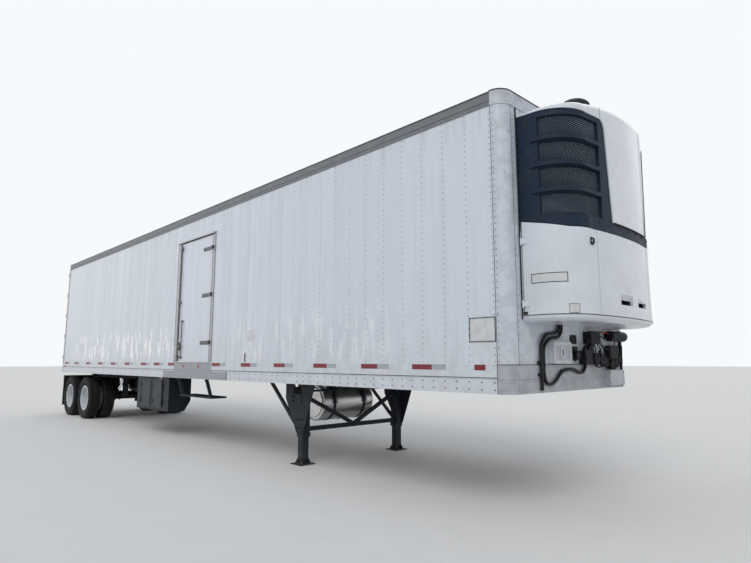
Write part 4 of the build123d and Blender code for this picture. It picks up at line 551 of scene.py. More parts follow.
def wall_rivets():
    """Columns of rivets up both walls, the rows along the rails, and the rails' dark lines."""
    first = SEAM_X - 0.022
    columns = int((first - WALL_LOW.x - 0.03) / PANEL_PITCH) + 1
    start, end = WALL_LOW.x + 0.04, SEAM_X - 0.03
    for side, sign in SIDES:
        wall = Batch()
        for k in range(columns):
            x = first - k * PANEL_PITCH
            wall.rivets(x, sign * SKIN_Y, [z for z in RIVET_Z if not in_doorway(sign, x, z, 0.015)])
        wall.make("wall_rivets_" + side, "rivet_shade_and_dirt")
        y = sign * HALF_WIDTH
        places = steps_between(start, end, PANEL_PITCH / 2)
        rows = Batch()
        rows.rivets(steps_between(start, end, PANEL_PITCH / 3), y, TOP_RIVET_Z)
        rows.rivets(places, y, RAIL_RIVET_ROWS, None, 0.0095, 0.004)
        beside_door = [x for x in places if not in_doorway(sign, x, RAIL_HIGH.z, 0.02)]
        rows.rivets(beside_door, y, RAIL_HIGH.z - 0.012, None, 0.0045)
        rows.make("rail_rivets_" + side, "rivet_grey")
        span = (WALL_LOW.x, SEAM_X - 0.002)
        runs = ((span[0], -0.242), (1.202, span[1])) if sign < 0 else (span,)
        lines = Batch()
        # The strips at RAIL_LINE_Z are painted shade along the bottom rail's groove
        lines.slabs(Y, (y, y + sign * 0.002), (*span, ROOF_Z - 0.026, ROOF_Z - 0.013),
                    *((*run, *RAIL_LINE_Z) for run in runs))
        lines.slabs(Y, (y, y + sign * 0.0015), (*span, TOP_LOW.z + 0.045, TOP_LOW.z + 0.05))
        lines.make("rail_ledges_" + side, "trim_dark")


def nose_corner(sign, sixths, z=0.0):
    """A place and its outward direction on the box's rounded corner, some sixths of the way to the front."""
    turn = radians(15 * sixths)
    normal = Vector((sin(turn), sign * cos(turn), 0))
    middle = Vector((X_FRONT - CORNER_RADIUS, sign * (HALF_WIDTH - CORNER_RADIUS), z))
    return middle + normal * CORNER_RADIUS, normal


def nose_rivets():
    """Rivets and seams beside the corners, across the front wall, and round the nose rails."""
    seams = Batch()
    seam = (SEAM_X - 0.003, SEAM_X + 0.002)
    for sign in (-1, 1):
        seams.slabs(Y, (sign * SKIN_Y, sign * (SKIN_Y + 0.0015)), (*seam, RAIL_HIGH.z, TOP_LOW.z))
        seams.slabs(Y, (sign * HALF_WIDTH, sign * (HALF_WIDTH + 0.0015)),
                    (*seam, RAIL_LOW.z + 0.004, RAIL_HIGH.z))
        seams.slabs(X, (NOSE_X, NOSE_X + 0.0015),
                    (sign * NOSE_SEAM_Y - 0.002, sign * NOSE_SEAM_Y + 0.002, RAIL_HIGH.z, TOP_LOW.z))
    edge = [Vector((SEAM_X, CURB_Y, 0))] + [nose_corner(-1, k)[0] for k in range(7)]
    edge += [Vector((p.x, -p.y, 0)) for p in reversed(edge)]
    for z, radius in ((RAIL_HIGH.z - 0.002, 0.0035), (ROOF_Z - 0.006, 0.007)):
        seams.tube([p + lift(z) for p in edge], radius, 6)
    seams.make("nose_seams", "trim_dark")

    across = steps_between(-1.1, 1.1, 0.1)
    heads = Batch()
    heads.rivets(SEAM_X + 0.022, both(SKIN_Y), RIVET_Z)
    heads.rivets(NOSE_X, both(NOSE_EDGE_Y), RIVET_Z, AHEAD)
    heads.rivets(NOSE_X, across, RAIL_HIGH.z + 0.02, AHEAD)
    heads.rivets(X_FRONT, across, RAIL_RIVET_ROWS, AHEAD, 0.0065, 0.003)
    heads.rivets(X_FRONT, across, TOP_RIVET_Z, AHEAD)
    for k, sign, z in product(range(1, 6), (-1, 1), (*RAIL_RIVET_ROWS, TOP_RIVET_Z)):
        heads.rivet(*nose_corner(sign, k, z), 0.006, 0.003)
    heads.make("nose_rivets", "rivet_shade_and_dirt")


def tape():
    """Reflective tape along both bottom rails, and on the rear end."""
    red = Batch()
    white = Batch()
    for sign in (-1, 1):
        depth = (sign * (HALF_WIDTH + 0.0002), sign * (HALF_WIDTH + 0.0012))
        red.slabs(Y, depth, (*TAPE_LAST, *TAPE_Z), *((x, x + TAPE_RED, *TAPE_Z) for x in TAPE_STARTS))
        ends = [x + TAPE_RED for x in TAPE_STARTS]
        white.slabs(Y, depth, *((x, x + TAPE_WHITE, *TAPE_Z) for x in ends))
    half = 0.0275
    rear_pitch = 0.24
    # The sill's strip and the guard's: (place, half its length, height)
    for x, reach, z in ((X_REAR, 0.86, 1.352), (X_REAR + 0.01, 1.12, 0.5)):
        pieces = round(2 * reach / rear_pitch)
        wide = 2 * reach / pieces
        for k in range(pieces):
            y = k * wide - reach
            (red if k % 2 else white).slabs(X, (x - 0.0012, x - 0.0002), (y, y + wide, z - half, z + half))
    for sign in (-1, 1):
        white.slabs(X, (X_REAR - 0.0012, X_REAR - 0.0002), (sign * 0.74, sign * 1.04, 4.052, 4.1),
                    (sign * 1.236, sign * 1.284, 3.8, 4.03))
    red.make("tape_red", "tape_red")
    white.make("tape_white", "tape_white")


def side_plates():
    """The sill plate, blank placards, small lamps, and dark lines on the curb wall and rail."""
    y = CURB_Y
    wall = -SKIN_Y
    sill = Batch()
    sill.slabs(Y, (y - 0.0022, y), (-0.71, 1.74, 1.132, 1.2585))
    sill.slabs(Y, (y - 0.004, y), (-0.24, 1.2, 1.2585, 1.4095))
    sill.make("sill_plate", "worn_metal")
    heads = Batch()
    heads.rivets(steps_between(-0.22, 1.18, 0.1), y - 0.004, (1.275, 1.395))
    heads.rivets(steps_between(-0.69, 1.72, 0.12), y - 0.0022, (1.148, 1.243), None, 0.006)
    heads.make("sill_rivets", "rivet_grey")
    lamps = Batch()
    lamps.slabs(Y, (y - 0.012, y - 0.004), (0.113, 0.163, 1.327, 1.377))
    lamps.button((0.732, y - 0.004, 1.352), TO_CURB, 0.03, 0.006, 0.011, 0.022, 24)
    for x, sign in ((-7.3, -1), (-7.3, 1), (0.02, 1)):
        lamps.button((x, sign * HALF_WIDTH, 1.3), (0, sign, 0), 0.024, 0.008, 0.013, 0.016, 20)
    lamps.make("side_lamps", "reflector_red")

    plates = Batch()
    plates.slabs(Y, (wall - 0.0025, wall), (6.59, 6.89, 1.635, 1.865))
    plates.slabs(Y, (wall - 0.001, wall), (2.35, 2.56, 1.745, 1.915))
    plates.make("blank_placards", "placard_white")
    # The placard's frame, two short marks, the door's gasket, and the edges of the door's frame
    lines = Batch()
    lines.border(Y, (wall - 0.006, wall), 6.585, 6.895, 1.63, 1.87, 0.007)
    lines.slabs(Y, (wall - 0.01, wall), (2.279, 2.291, 1.43, 1.565))
    lines.slabs(Y, (y - 0.006, y), (1.735, 1.747, 1.134, 1.262))
    x0, x1 = DOOR_LOW.x - 0.024, DOOR_HIGH.x + 0.014
    z0, z1 = DOOR_LOW.z - 0.012, DOOR_HIGH.z + 0.016
    lines.slabs(Y, (y - 0.001, y), (x0, DOOR_LOW.x - 0.004, z0, z1), (DOOR_HIGH.x + 0.004, x1, z0, z1),
                (x0, x1, DOOR_HIGH.z + 0.004, DOOR_HIGH.z + 0.022),
                (x0, x1, DOOR_LOW.z - 0.018, DOOR_LOW.z - 0.004))
    for x in (FRAME_LOW.x, FRAME_HIGH.x):
        lines.slabs(Y, (y - 0.0015, y), (x - 0.003, x + 0.003, RAIL_HIGH.z, FRAME_HIGH.z))
    lines.make("placard_frame", "trim_dark")


def side_door_details():
    """Rivets, bolts and seal of the side door and its frame."""
    y = CURB_Y
    heads = Batch()
    heads.rivets((FRAME_LOW.x + 0.03, FRAME_LOW.x + 0.085, FRAME_HIGH.x - 0.022), y,
                 steps_between(RAIL_HIGH.z + 0.04, FRAME_HIGH.z - 0.07, DOOR_PITCH))
    heads.rivets(steps_between(FRAME_LOW.x, FRAME_HIGH.x, DOOR_PITCH, 0.03), y, FRAME_HIGH.z - 0.045)
    heads.make("side_frame_rivets", "rivet_grey")
    leaf = Batch()
    leaf.rivets((DOOR_LOW.x + 0.028, DOOR_HIGH.x - 0.028), y,
                steps_between(DOOR_LOW.z, DOOR_HIGH.z, DOOR_PITCH, 0.04))
    leaf.rivets(steps_between(DOOR_LOW.x, DOOR_HIGH.x, DOOR_PITCH, 0.06), y,
                (DOOR_LOW.z + 0.028, DOOR_HIGH.z - 0.028))
    leaf.make("side_door_rivets", "rivet_shade_and_dirt", "side_door")
    bolts = Batch()
    bolts.bolts((0.8, 0.88, 0.96, 1.04), y - 0.008, SIDE_HINGE_Z, None, 0.016, 0.009)
    bolts.bolts((DOOR_LOW.x + 0.028, DOOR_LOW.x + 0.092), y - 0.031,
                (DOOR_LOW.z + 0.06, DOOR_HIGH.z - 0.08), None, 0.012, 0.006, False)
    bolts.make("side_door_bolts", "bolt_zinc", "side_door")
    seal = Batch()
    x0, x1, z0, z1 = DOOR_LOW.x, DOOR_HIGH.x, DOOR_LOW.z, DOOR_HIGH.z
    wide = 0.005
    seal.slabs(Y, (y + 0.006, y + 0.05), (x0 - wide, x0, z0, z1), (x1, x1 + wide, z0, z1),
               (x0 - wide, x1 + wide, z1, z1 + wide), (x0 - wide, x1 + wide, z0 - wide, z0))
    seal.make("side_door_seal", "seal_black", "side_door")


def rear_details():
    """Seals, rivets, bolts and grips of the rear doors, the blank plate, lamp rims and bumper bolts."""
    for side, sign in SIDES:
        node = "rear_door_" + side
        low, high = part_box(node)
        seal = Batch()
        seal.border(X, (X_REAR - 0.005, X_REAR + 0.001), low.y, high.y, low.z, high.z, 0.014)
        seal.make("rear_seal_" + side, "seal_black", node)
        heads = Batch()
        heads.rivets(X_REAR, (low.y + 0.03, high.y - 0.03),
                     steps_between(low.z, high.z, DOOR_PITCH, 0.04), BACK)
        heads.rivets(X_REAR, steps_between(low.y, high.y, DOOR_PITCH, 0.05),
                     (low.z + 0.03, high.z - 0.03), BACK)
        heads.make("rear_rivets_" + side, "rivet_shade_and_dirt", node)
        bolts = Batch()
        hinge_y = [sign * y for y in (0.93, 1.01, 1.09, 1.17)]
        bolts.bolts(X_REAR - 0.01, hinge_y, REAR_HINGE_Z, BACK, 0.017, 0.009)
        guides = [sign * y + dy for y in LOCK_ROD_Y for dy in (-0.017, 0.017)]
        bolts.bolts(X_REAR - 0.033, guides, REAR_GUIDE_Z, BACK, 0.01, 0.005, False)
        bolts.make("rear_bolts_" + side, "bolt_zinc", node)
        grips = Batch()
        for y, height, way in zip(LOCK_ROD_Y, (0.23, 0.33), (1, -1)):
            ends = [(X_REAR - 0.021, sign * (y + way * reach), low.z + height) for reach in (0.34, 0.425)]
            grips.rod(*ends, 0.0175, 14)
        grips.make("rear_grips_" + side, "grip_black", node)

    plate = Batch()
    plate.slabs(X, (X_REAR - 0.004, X_REAR), (0.2, 0.505, 1.15, 1.302))
    plate.make("blank_plate", "placard_white")
    rims = Batch()
    for y in both(0.94, 1.07, 1.19):
        rims.button((X_REAR, y, 1.34), BACK, 0.06, 0.006, 0.009, 0.053, 28)
    for y in (*both(0.15, 1.1755), 0.0):
        rims.button((X_REAR, y, ROOF_Z - 0.075), BACK, 0.032, 0.005, 0.007, 0.027, 20)
    rims.make("lamp_rims", "seal_black")
    heads = Batch()
    heads.bolts(X_REAR - 0.09, both(0.62, 0.81, 1.0), (1.19, 1.25), BACK, 0.022, 0.005)
    heads.make("bumper_bolts", "bolt_zinc")


# Half a tyre's section from its bead to its middle: (distance from the middle, radius, how far it follows the
# zigzag, whether it is a shoulder notch)
TYRE_SIDE = (
    (0.1046, 0.2885, 0, 0), (0.1046, 0.3065, 0, 0), (0.113, 0.317, 0, 0), (0.1165, 0.32, 0, 0),
    (0.1175, 0.325, 0, 0), (0.1255, 0.342, 0, 0), (0.1345, 0.37, 0, 0), (0.1385, 0.4, 0, 0),
    (0.1388, 0.423, 0, 0), (0.1362, 0.445, 0, 0), (0.1375, 0.4475, 0, 0), (0.134, 0.456, 0, 0),
    (0.13, 0.47, 0, 0), (0.127, 0.485, 0, 1), (0.121, 0.498, 0, 1), (0.113, 0.5055, 0, 1),
    (0.108, 0.5078, 0, 0), (0.074, 0.5094, 1, 0), (0.072, 0.496, 1, 0), (0.064, 0.496, 1, 0),
    (0.062, 0.5099, 1, 0), (0.03, 0.5108, -1, 0), (0.0285, 0.496, -1, 0), (0.0215, 0.496, -1, 0),
    (0.02, 0.511, -1, 0),
)


def tyre_rings(centre):
    """Sections of one tyre round its axle."""
    profile = TYRE_SIDE + tuple((-across, *others) for across, *others in reversed(TYRE_SIDE))
    rings = []
    for k in range(TYRE_STEPS):
        turn = 2 * pi * k / TYRE_STEPS
        shift = 0.0026 if (k // 2) % 2 else -0.0026
        ring = []
        for across, radius, zigzag, notch in profile:
            if notch and k % 4 == 0:
                radius -= 0.006
            ring.append(centre + Vector((radius * sin(turn), across + shift * zigzag, radius * cos(turn))))
        rings.append(ring)
    return rings


def wheels():
    """Tyres with grooved treads, wheel nuts, hub caps and valves on each pair of wheels."""
    for axle, (side, sign) in product(AXLE_X, SIDES):
        place = axle + "_" + side
        body = "wheels_" + place
        low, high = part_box("tyres_" + place)
        middle = Vector(((low.x + high.x) / 2, (low.y + high.y) / 2, TYRE_RADIUS))
        half = (high.y - low.y) / 2 - TYRE_HALF
        batch = Batch()
        for offset in (-half, half):
            batch.rings(tyre_rings(middle + Vector((0, offset, 0))), loop=True)
        tyre = batch.make("tread_" + place, "tyre_rubber", body, smooth=32)
        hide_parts("tyres_" + place)

        out = Vector((0, sign, 0))
        disc = middle + out * 0.01
        nuts = Batch()
        hub = Batch()
        for across, up in spokes(10, pi / 10):
            spot = disc + Vector((across, 0, up)) * STUD_CIRCLE
            nuts.turned(spot, out, ((-0.001, 0.023), (0.004, 0.023), (0.006, 0.0185), (0.026, 0.018),
                                    (0.03, 0.015)), 6)
            hub.turned(spot, out, ((0.028, 0.01), (0.042, 0.01), (0.044, 0.008)), 10)
        nuts.make("wheel_nuts_" + place, "nut_steel", body)
        for across, up in spokes(6):
            hub.bolt(middle + out * HUB_FACE + Vector((across, 0, up)) * 0.05, out, 0.01, 0.005, False)
        hub.turned(middle, out, ((HUB_FACE, 0.04), (0.182, 0.04), (0.186, 0.034), (0.186, 0.02)), 24)
        valve = [disc + Vector((x, sign * y, 0)) for x, y in ((0.17, 0.002), (0.185, 0.03), (0.215, 0.055))]
        hub.tube(curved(valve, 5), 0.004)
        hub.make("hub_cap_" + place, "hub_dark", body)


def arc_through(a, b, c, count):
    """Points on the arc from a to c that passes b."""
    (ax, ay), (bx, by), (cx, cy) = a, b, c
    a2, b2, c2 = ax ** 2 + ay ** 2, bx ** 2 + by ** 2, cx ** 2 + cy ** 2
    d = 2 * (ax * (by - cy) + bx * (cy - ay) + cx * (ay - by))
    ux = (a2 * (by - cy) + b2 * (cy - ay) + c2 * (ay - by)) / d
    uy = (a2 * (cx - bx) + b2 * (ax - cx) + c2 * (bx - ax)) / d
    start = atan2(ay - uy, ax - ux)
    sweep = (atan2(cy - uy, cx - ux) - start) % (2 * pi)
    radius = hypot(ax - ux, ay - uy)
    turns = [start + sweep * k / count for k in range(count + 1)]
    return [(ux + radius * cos(turn), uy + radius * sin(turn)) for turn in turns]


class Plan:
    """The cooling unit's outline seen from above, from the curb side round to the road side."""

    def __init__(self, inset):
        side = UNIT_HALF - inset
        front = UNIT_FRONT_X - inset
        turn = (X_FRONT + 0.17, side - 0.01)
        corner = (front - 0.185, side - 0.1)
        shoulder = (front - 0.045, side - 0.42)
        line = [(X_FRONT, -side)]
        line += arc_through((turn[0], -turn[1]), (corner[0], -corner[1]), (shoulder[0], -shoulder[1]), 40)
        line += arc_through((shoulder[0], -shoulder[1]), (front, 0), shoulder, 60)[1:]
        line += arc_through(shoulder, corner, turn, 40)[1:]
        line += [(X_FRONT, side)]
        self.line = [Vector((x, y, 0)) for x, y in line]
        self.far = [0.0]
        for a, b in zip(self.line, self.line[1:]):
            self.far.append(self.far[-1] + (b - a).length)

    def at(self, along):
        """The place and the outward direction at a distance along the outline."""
        along = min(max(along, 0.0), self.far[-1])
        k = 1
        while k < len(self.far) - 1 and self.far[k] < along:
            k += 1
        a, b = self.line[k - 1], self.line[k]
        share = (along - self.far[k - 1]) / (self.far[k] - self.far[k - 1])
        ahead = (b - a).normalized()
        return a + (b - a) * share, Vector((ahead.y, -ahead.x, 0))

    def reach(self, axis, value):
        """The first distance along the outline at which its place along an axis passes a value."""
        steps = 600
        for k in range(steps + 1):
            along = self.far[-1] * k / steps
            if self.at(along)[0][axis] > value:
                return along
        return self.far[-1]

    def plate(self, batch, start, end, z0, z1, thick, out=0.0):
        """A thin plate that follows the outline between two distances along it."""
        rings = []
        for along in steps_between(start, end, 0.02):
            place, normal = self.at(along)
            inner = place + normal * (out - 0.001)
            outer = place + normal * (out + thick)
            rings.append([inner + lift(z0), outer + lift(z0), outer + lift(z1), inner + lift(z1)])
        batch.rings(rings)

    def border(self, batch, start, end, z0, z1, wide):
        """Four thin strips round a plate."""
        for z in (z0 - wide, z1):
            self.plate(batch, start - wide, end + wide, z, z + wide, 0.002)
        for along in (start - wide, end):
            self.plate(batch, along, along + wide, z0 - wide, z1 + wide, 0.002)


def unit_mesh():
    """Woven wire behind the open rows, in place of the plain slotted sheet."""
    behind_face = 0.046
    plan = Plan(behind_face)
    low = UNIT_BELT_TOP + 0.004
    high = GRILLE_HIGH_Z + 0.012
    wire = 0.004
    cell = 0.04
    slope = 0.55
    rise = (high - low) / slope
    spans = ((plan.reach(X, X_FRONT + 0.18), plan.reach(Y, -0.415)),
             (plan.reach(Y, 0.905), plan.far[-1] - 0.185))
    batch = Batch()
    for (start, end), way in product(spans, (1, -1)):
        first = start - rise if way > 0 else start
        last = end if way > 0 else end + rise
        for k in range(int((last - first) / cell) + 1):
            foot = first + k * cell
            low_s, top_s = [max(start, min(end, s)) for s in (foot, foot + way * rise)]
            if abs(top_s - low_s) < cell * 0.5:
                continue
            points = []
            for s in steps_between(low_s, top_s, 0.045):
                place, normal = plan.at(s)
                points.append(place + normal * (0.001 * way) + lift(low + (s - foot) * way * slope))
            batch.tube(points, wire, 3)
    for start, end in spans:
        rim = ((start, end, low - 0.002, low + 0.014), (start, end, high - 0.014, high),
               (start - 0.008, start + 0.008, low, high), (end - 0.008, end + 0.008, low, high))
        for s0, s1, z0, z1 in rim:
            plan.plate(batch, s0, s1, z0, z1, 0.004, -0.002)
    mesh = batch.make("unit_wire_mesh", "mesh_grey")
    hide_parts("unit_grille")


def unit_door_plates(plan):
    """Two blank plates with dark rims, the latch and the lock on the unit's curb door."""
    # Each plate: its two ends along the outline, and its heights
    upper = (plan.reach(X, 7.17), plan.reach(X, 7.48), 2.19, 2.27)
    lower = (plan.reach(Y, -0.95), plan.reach(Y, -0.88), 1.893, 1.972)
    plate = Batch()
    plan.plate(plate, *upper, 0.0012)
    plate.make("unit_plate_upper", "placard_white", "unit_door_curb")
    rims = Batch()
    plan.border(rims, *upper, 0.007)
    plan.border(rims, *lower, 0.004)
    lock = plan.reach(Y, -0.69)
    plan.plate(rims, lock - 0.024, lock + 0.024, 2.555, 2.625, 0.012)
    plan.plate(rims, lock - 0.012, lock + 0.012, 2.567, 2.613, 0.027)
    rims.make("unit_plate_rims", "trim_dark", "unit_door_curb")
    plate = Batch()
    plan.plate(plate, *lower, 0.0012)
    plate.make("unit_plate_lower", "placard_white", "unit_door_curb")
    latch = Batch()
    latch.slabs(Y, (-UNIT_HALF - 0.014, -UNIT_HALF), (7.075, 7.115, 1.89, 1.915))
    latch.make("unit_latch_curb", "grip_black", "unit_door_curb")


def unit_trim(plan):
    """Screws round the shroud, the white panel's dark strip and its dashes of painted shadow, the cap's
    joint, the wall seal.
    """
    dark = Batch()
    for y in steps_between(-0.95, 0.95, 0.21):
        place, normal = plan.at(plan.reach(Y, y))
        dark.bolt(place - normal * 0.004 + lift(UNIT_BELT_TOP - 0.03), normal, 0.012, 0.004)
    heights = steps_between(UNIT_BELT_TOP + 0.06, GRILLE_HIGH_Z, 0.16)
    dark.bolts(X_FRONT + 0.045, both(UNIT_HALF - 0.012), heights, None, 0.011, 0.004)
    # The panel's road edge: (height, distance across from the panel's middle)
    edge = ((UNIT_BELT_TOP + 0.006, 0.46), (3.825, 0.535), (3.875, 0.555), (3.913, 0.6))
    strip = []
    for z, half in edge:
        place, normal = plan.at(plan.reach(Y, 0.208 + half))
        ahead = Vector((-normal.y, normal.x, 0)) * 0.006
        centre = place + lift(z)
        strip.append([centre - ahead - normal * 0.03, centre - ahead + normal * 0.007,
                      centre + ahead + normal * 0.007, centre + ahead - normal * 0.03])
    dark.rings(strip)
    # Dark dashes below the white panel, a painted shadow in its gap, and the cap's joint
    gaps = Batch()
    for y in steps_between(-0.22, 0.62, 0.06):
        along = plan.reach(Y, y)
        plan.plate(gaps, along - 0.02, along + 0.02, UNIT_BELT_TOP - 0.004, UNIT_BELT_TOP + 0.01, 0.008)
    along = plan.reach(Y, -0.41)
    plan.plate(gaps, along - 0.002, along + 0.002, 3.93, 4.04, 0.0015)
    gaps.make("unit_panel_gaps", "seal_black")
    dark.make("unit_shroud_screws", "trim_dark")
    seal = Batch()
    for sign in (-1, 1):
        seal.slabs(X, (X_FRONT - 0.007, X_FRONT + 0.004),
                   (sign * (UNIT_HALF - 0.002), sign * (UNIT_HALF + 0.01), 1.845, 4.02))
    seal.make("unit_wall_seal", "seal_black")


def unit_details():
    """The unit's plates and trim, its vent's ribs, and what shows in its engine bay and behind its grille."""
    plan = Plan(0.0)
    unit_door_plates(plan)
    unit_trim(plan)
    low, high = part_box("unit_vent")
    top = Vector(((low.x + high.x) / 2, (low.y + high.y) / 2, high.z))
    radius = (high.x - low.x) / 2
    louvres = Batch()
    for k, (across, other) in enumerate(spokes(30)):
        place = top + Vector((across * radius, other * radius, -0.052))
        louvres.turned(place, UP, ((-0.05, 0.006), (0.018, 0.006)), 4, 2 * pi * k / 30 + pi / 4)
    louvres.turned(top, UP, ((-0.004, 0.075), (0.003, 0.075), (0.006, 0.06)), 24)
    louvres.make("unit_vent_ribs", "grille_black")

    bay = Batch()
    low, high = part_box("unit_engine")
    for k in range(5):
        bay.button((high.x - 0.06, low.y + 0.1 + k * 0.15, high.z), UP, 0.036, 0.05, 0.06, 0.026, 16)
    bay.turned((high.x, -0.22, 2.2), AHEAD, ((-0.01, 0.115), (0.035, 0.115), (0.04, 0.1), (0.04, 0.03)), 32)
    bay.turned((high.x, 0.2, 2.05), AHEAD, ((-0.01, 0.08), (0.03, 0.08), (0.036, 0.066)), 28)
    # Two hoses: radius, then (distance ahead of the block's face, across, height)
    for radius, *route in (
            (0.014, (-0.02, -0.38, 2.4), (0.03, -0.44, 2.3), (0.02, -0.47, 2.1), (-0.03, -0.47, 1.92)),
            (0.018, (-0.03, 0.36, 2.44), (0.025, 0.44, 2.36), (0.02, 0.48, 2.15), (-0.03, 0.5, 1.9))):
        bay.tube(curved([(high.x + x, y, z) for x, y, z in route], 6), radius, 10)
    bay.make("unit_engine_parts", "axle_black")
    coil = Batch()
    low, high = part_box("unit_condenser")
    for z in steps_between(low.z, high.z, 0.045, 0.02):
        coil.rod((high.x + 0.002, low.y + 0.01, z), (high.x + 0.002, high.y - 0.01, z), 0.006, 6)
    coil.make("unit_coil_tubes", "coil_tube")
    shroud = Batch()
    heights = (low.z + 0.01, high.z - 0.01)
    shroud.slabs(X, (X_FRONT + 0.02, low.x), (low.y + 0.02, high.y - 0.02, *heights))
    shroud.slabs(X, (high.x + 0.01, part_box("unit_grille")[1].x - 0.06), (-0.008, 0.008, *heights))
    shroud.make("unit_fan_shroud", "seal_black")


# Round sockets: (across, height over the rail's top, radius, distance from the wall), with their lip as
# (distance along, how much wider); flat boxes: (across twice, height twice, distance from the wall)
ROUND_SOCKETS = ((-0.09, 0.1, 0.062, 0.03), (0.61, 0.02, 0.052, 0.06), (0.76, -0.005, 0.055, 0.07),
                 (0.9, 0.015, 0.05, 0.06), (1.01, 0.06, 0.042, 0.055))
SOCKET_LIP = ((-0.004, 0.004), (0.006, 0.006), (0.012, 0.0), (0.012, -0.012), (0.006, -0.016))
FLAT_BOXES = ((0.69, 0.93, 0.058, 0.213, 0.07), (0.185, 0.43, 0.225, 0.36, 0.085),
              (0.06, 0.25, -0.006, 0.145, 0.075))
# Wires, the red cable and the ribbed hoses: (across, height, distance from the front wall)
WIRES = (
    ((0.06, 1.44, 0.03), (0.03, 1.5, 0.045), (0.075, 1.59, 0.05), (0.19, 1.64, 0.06)),
    ((0.25, 1.47, 0.05), (0.3, 1.4, 0.062), (0.42, 1.372, 0.058), (0.56, 1.415, 0.06)),
    ((0.43, 1.7, 0.06), (0.52, 1.64, 0.06), (0.59, 1.53, 0.058), (0.612, 1.47, 0.07)),
    ((0.43, 1.66, 0.05), (0.56, 1.6, 0.056), (0.7, 1.56, 0.066), (0.745, 1.45, 0.08)),
    ((0.93, 1.56, 0.05), (0.985, 1.54, 0.055), (1.02, 1.5, 0.056), (1.012, 1.465, 0.062)),
    ((0.93, 1.5, 0.046), (0.96, 1.44, 0.06), (0.9, 1.37, 0.05), (0.86, 1.336, 0.04)),
    ((0.65, 1.43, 0.05), (0.69, 1.39, 0.062), (0.73, 1.36, 0.056), (0.76, 1.336, 0.04)),
    ((0.33, 1.64, 0.055), (0.35, 1.58, 0.064), (0.345, 1.535, 0.066), (0.335, 1.5, 0.07)),
    ((0.4, 1.64, 0.055), (0.455, 1.59, 0.066), (0.48, 1.54, 0.066), (0.48, 1.5, 0.07)),
    ((0.7, 1.74, 0.055), (0.64, 1.7, 0.06), (0.52, 1.72, 0.058), (0.43, 1.735, 0.056)),
    ((1.105, 1.75, 0.045), (1.06, 1.69, 0.055), (0.99, 1.64, 0.05), (0.93, 1.6, 0.045)),
    ((1.105, 1.62, 0.045), (1.06, 1.56, 0.06), (1.05, 1.5, 0.06), (1.02, 1.47, 0.058)),
)
RED_CABLE = ((0.43, 1.745, 0.05), (0.52, 1.772, 0.06), (0.64, 1.768, 0.058), (0.76, 1.75, 0.062),
             (0.85, 1.722, 0.06), (0.88, 1.67, 0.055), (0.88, 1.622, 0.05))
RIBBED_HOSES = (((0.085, 1.555, 0.052), (0.12, 1.61, 0.06), (0.16, 1.66, 0.064), (0.2, 1.7, 0.062)),
                ((0.16, 1.555, 0.052), (0.2, 1.6, 0.062), (0.24, 1.63, 0.07), (0.28, 1.65, 0.07)))


def document_box():
    """The document box's raised rim, panel, latch and slit."""
    low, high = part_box("document_box")
    front = high.x
    rim = Batch()
    rings = []
    for inset, out in ((-0.006, 0.0), (-0.006, 0.01), (0.0, 0.014),
                       (0.02, 0.014), (0.024, 0.009), (0.024, 0.0)):
        radius = max(0.028 - inset, 0.01)
        y0, y1, z0, z1 = [edge + way * (inset + radius) for edge, way in (
            (low.y, 1), (high.y, -1), (low.z, 1), (high.z, -1))]
        ring = []
        for quarter, (y, z) in enumerate(((y1, z1), (y0, z1), (y0, z0), (y1, z0))):
            for k in range(7):
                turn = radians(90 * quarter + 15 * k)
                ring.append((front + out - 0.004, y + radius * cos(turn), z + radius * sin(turn)))
        rings.append(ring)
    rim.rings(rings, loop=True)
    rim.box((front - 0.004, low.y + 0.14, low.z + 0.004), (front + 0.016, low.y + 0.2, low.z + 0.03))
    rim.make("document_box_rim", "box_white", smooth=40)
    card = Batch()
    card.box((front - 0.0055, low.y + 0.04, low.z + 0.036), (front - 0.0035, high.y - 0.04, high.z - 0.036))
    card.make("document_box_panel", "plate_pale")
    y, z = (low.y + high.y) / 2, (low.z + high.z) / 2
    latch = Batch()
    latch.box((front - 0.004, y - 0.04, z - 0.06), (front + 0.006, y + 0.04, z + 0.06))
    latch.make("document_box_latch", "box_white")
    slit = Batch()
    slit.box((front, y - 0.008, z - 0.034), (front + 0.008, y + 0.008, z + 0.034))
    slit.make("document_box_slit", "seal_black")


def nose_plates():
    """The pale plate behind the fittings, the open box below the rail, and their screws."""
    top = RAIL_HIGH.z
    y0, y1, z0, z1 = 0.671, 1.064, top - 0.249, top - 0.071
    pale = Batch()
    pale.slabs(X, (NOSE_X + 0.008, NOSE_X + 0.0095), (0.424, 1.086, top + 0.124, top + 0.376))
    pale.slabs(X, (X_FRONT + 0.06, X_FRONT + 0.064), (y0, y1, z0, z1))
    pale.border(X, (X_FRONT, X_FRONT + 0.062), y0, y1, z0, z1, 0.004)
    pale.make("nose_pale_plates", "plate_pale")
    screws = Batch()
    screws.bolts(NOSE_X + 0.0095, (0.45, 0.65, 0.85, 1.06), (top + 0.145, top + 0.355), AHEAD, 0.012, 0.005)
    screws.bolts(X_FRONT + 0.064, (0.695, 1.04), (top - 0.225, top - 0.095), AHEAD, 0.012, 0.005)
    screws.bolts(NOSE_X + 0.006, (-0.12, 0.01), (top + 0.228, top + 0.306), AHEAD, 0.008, 0.003)
    screws.make("nose_screws", "bolt_zinc")


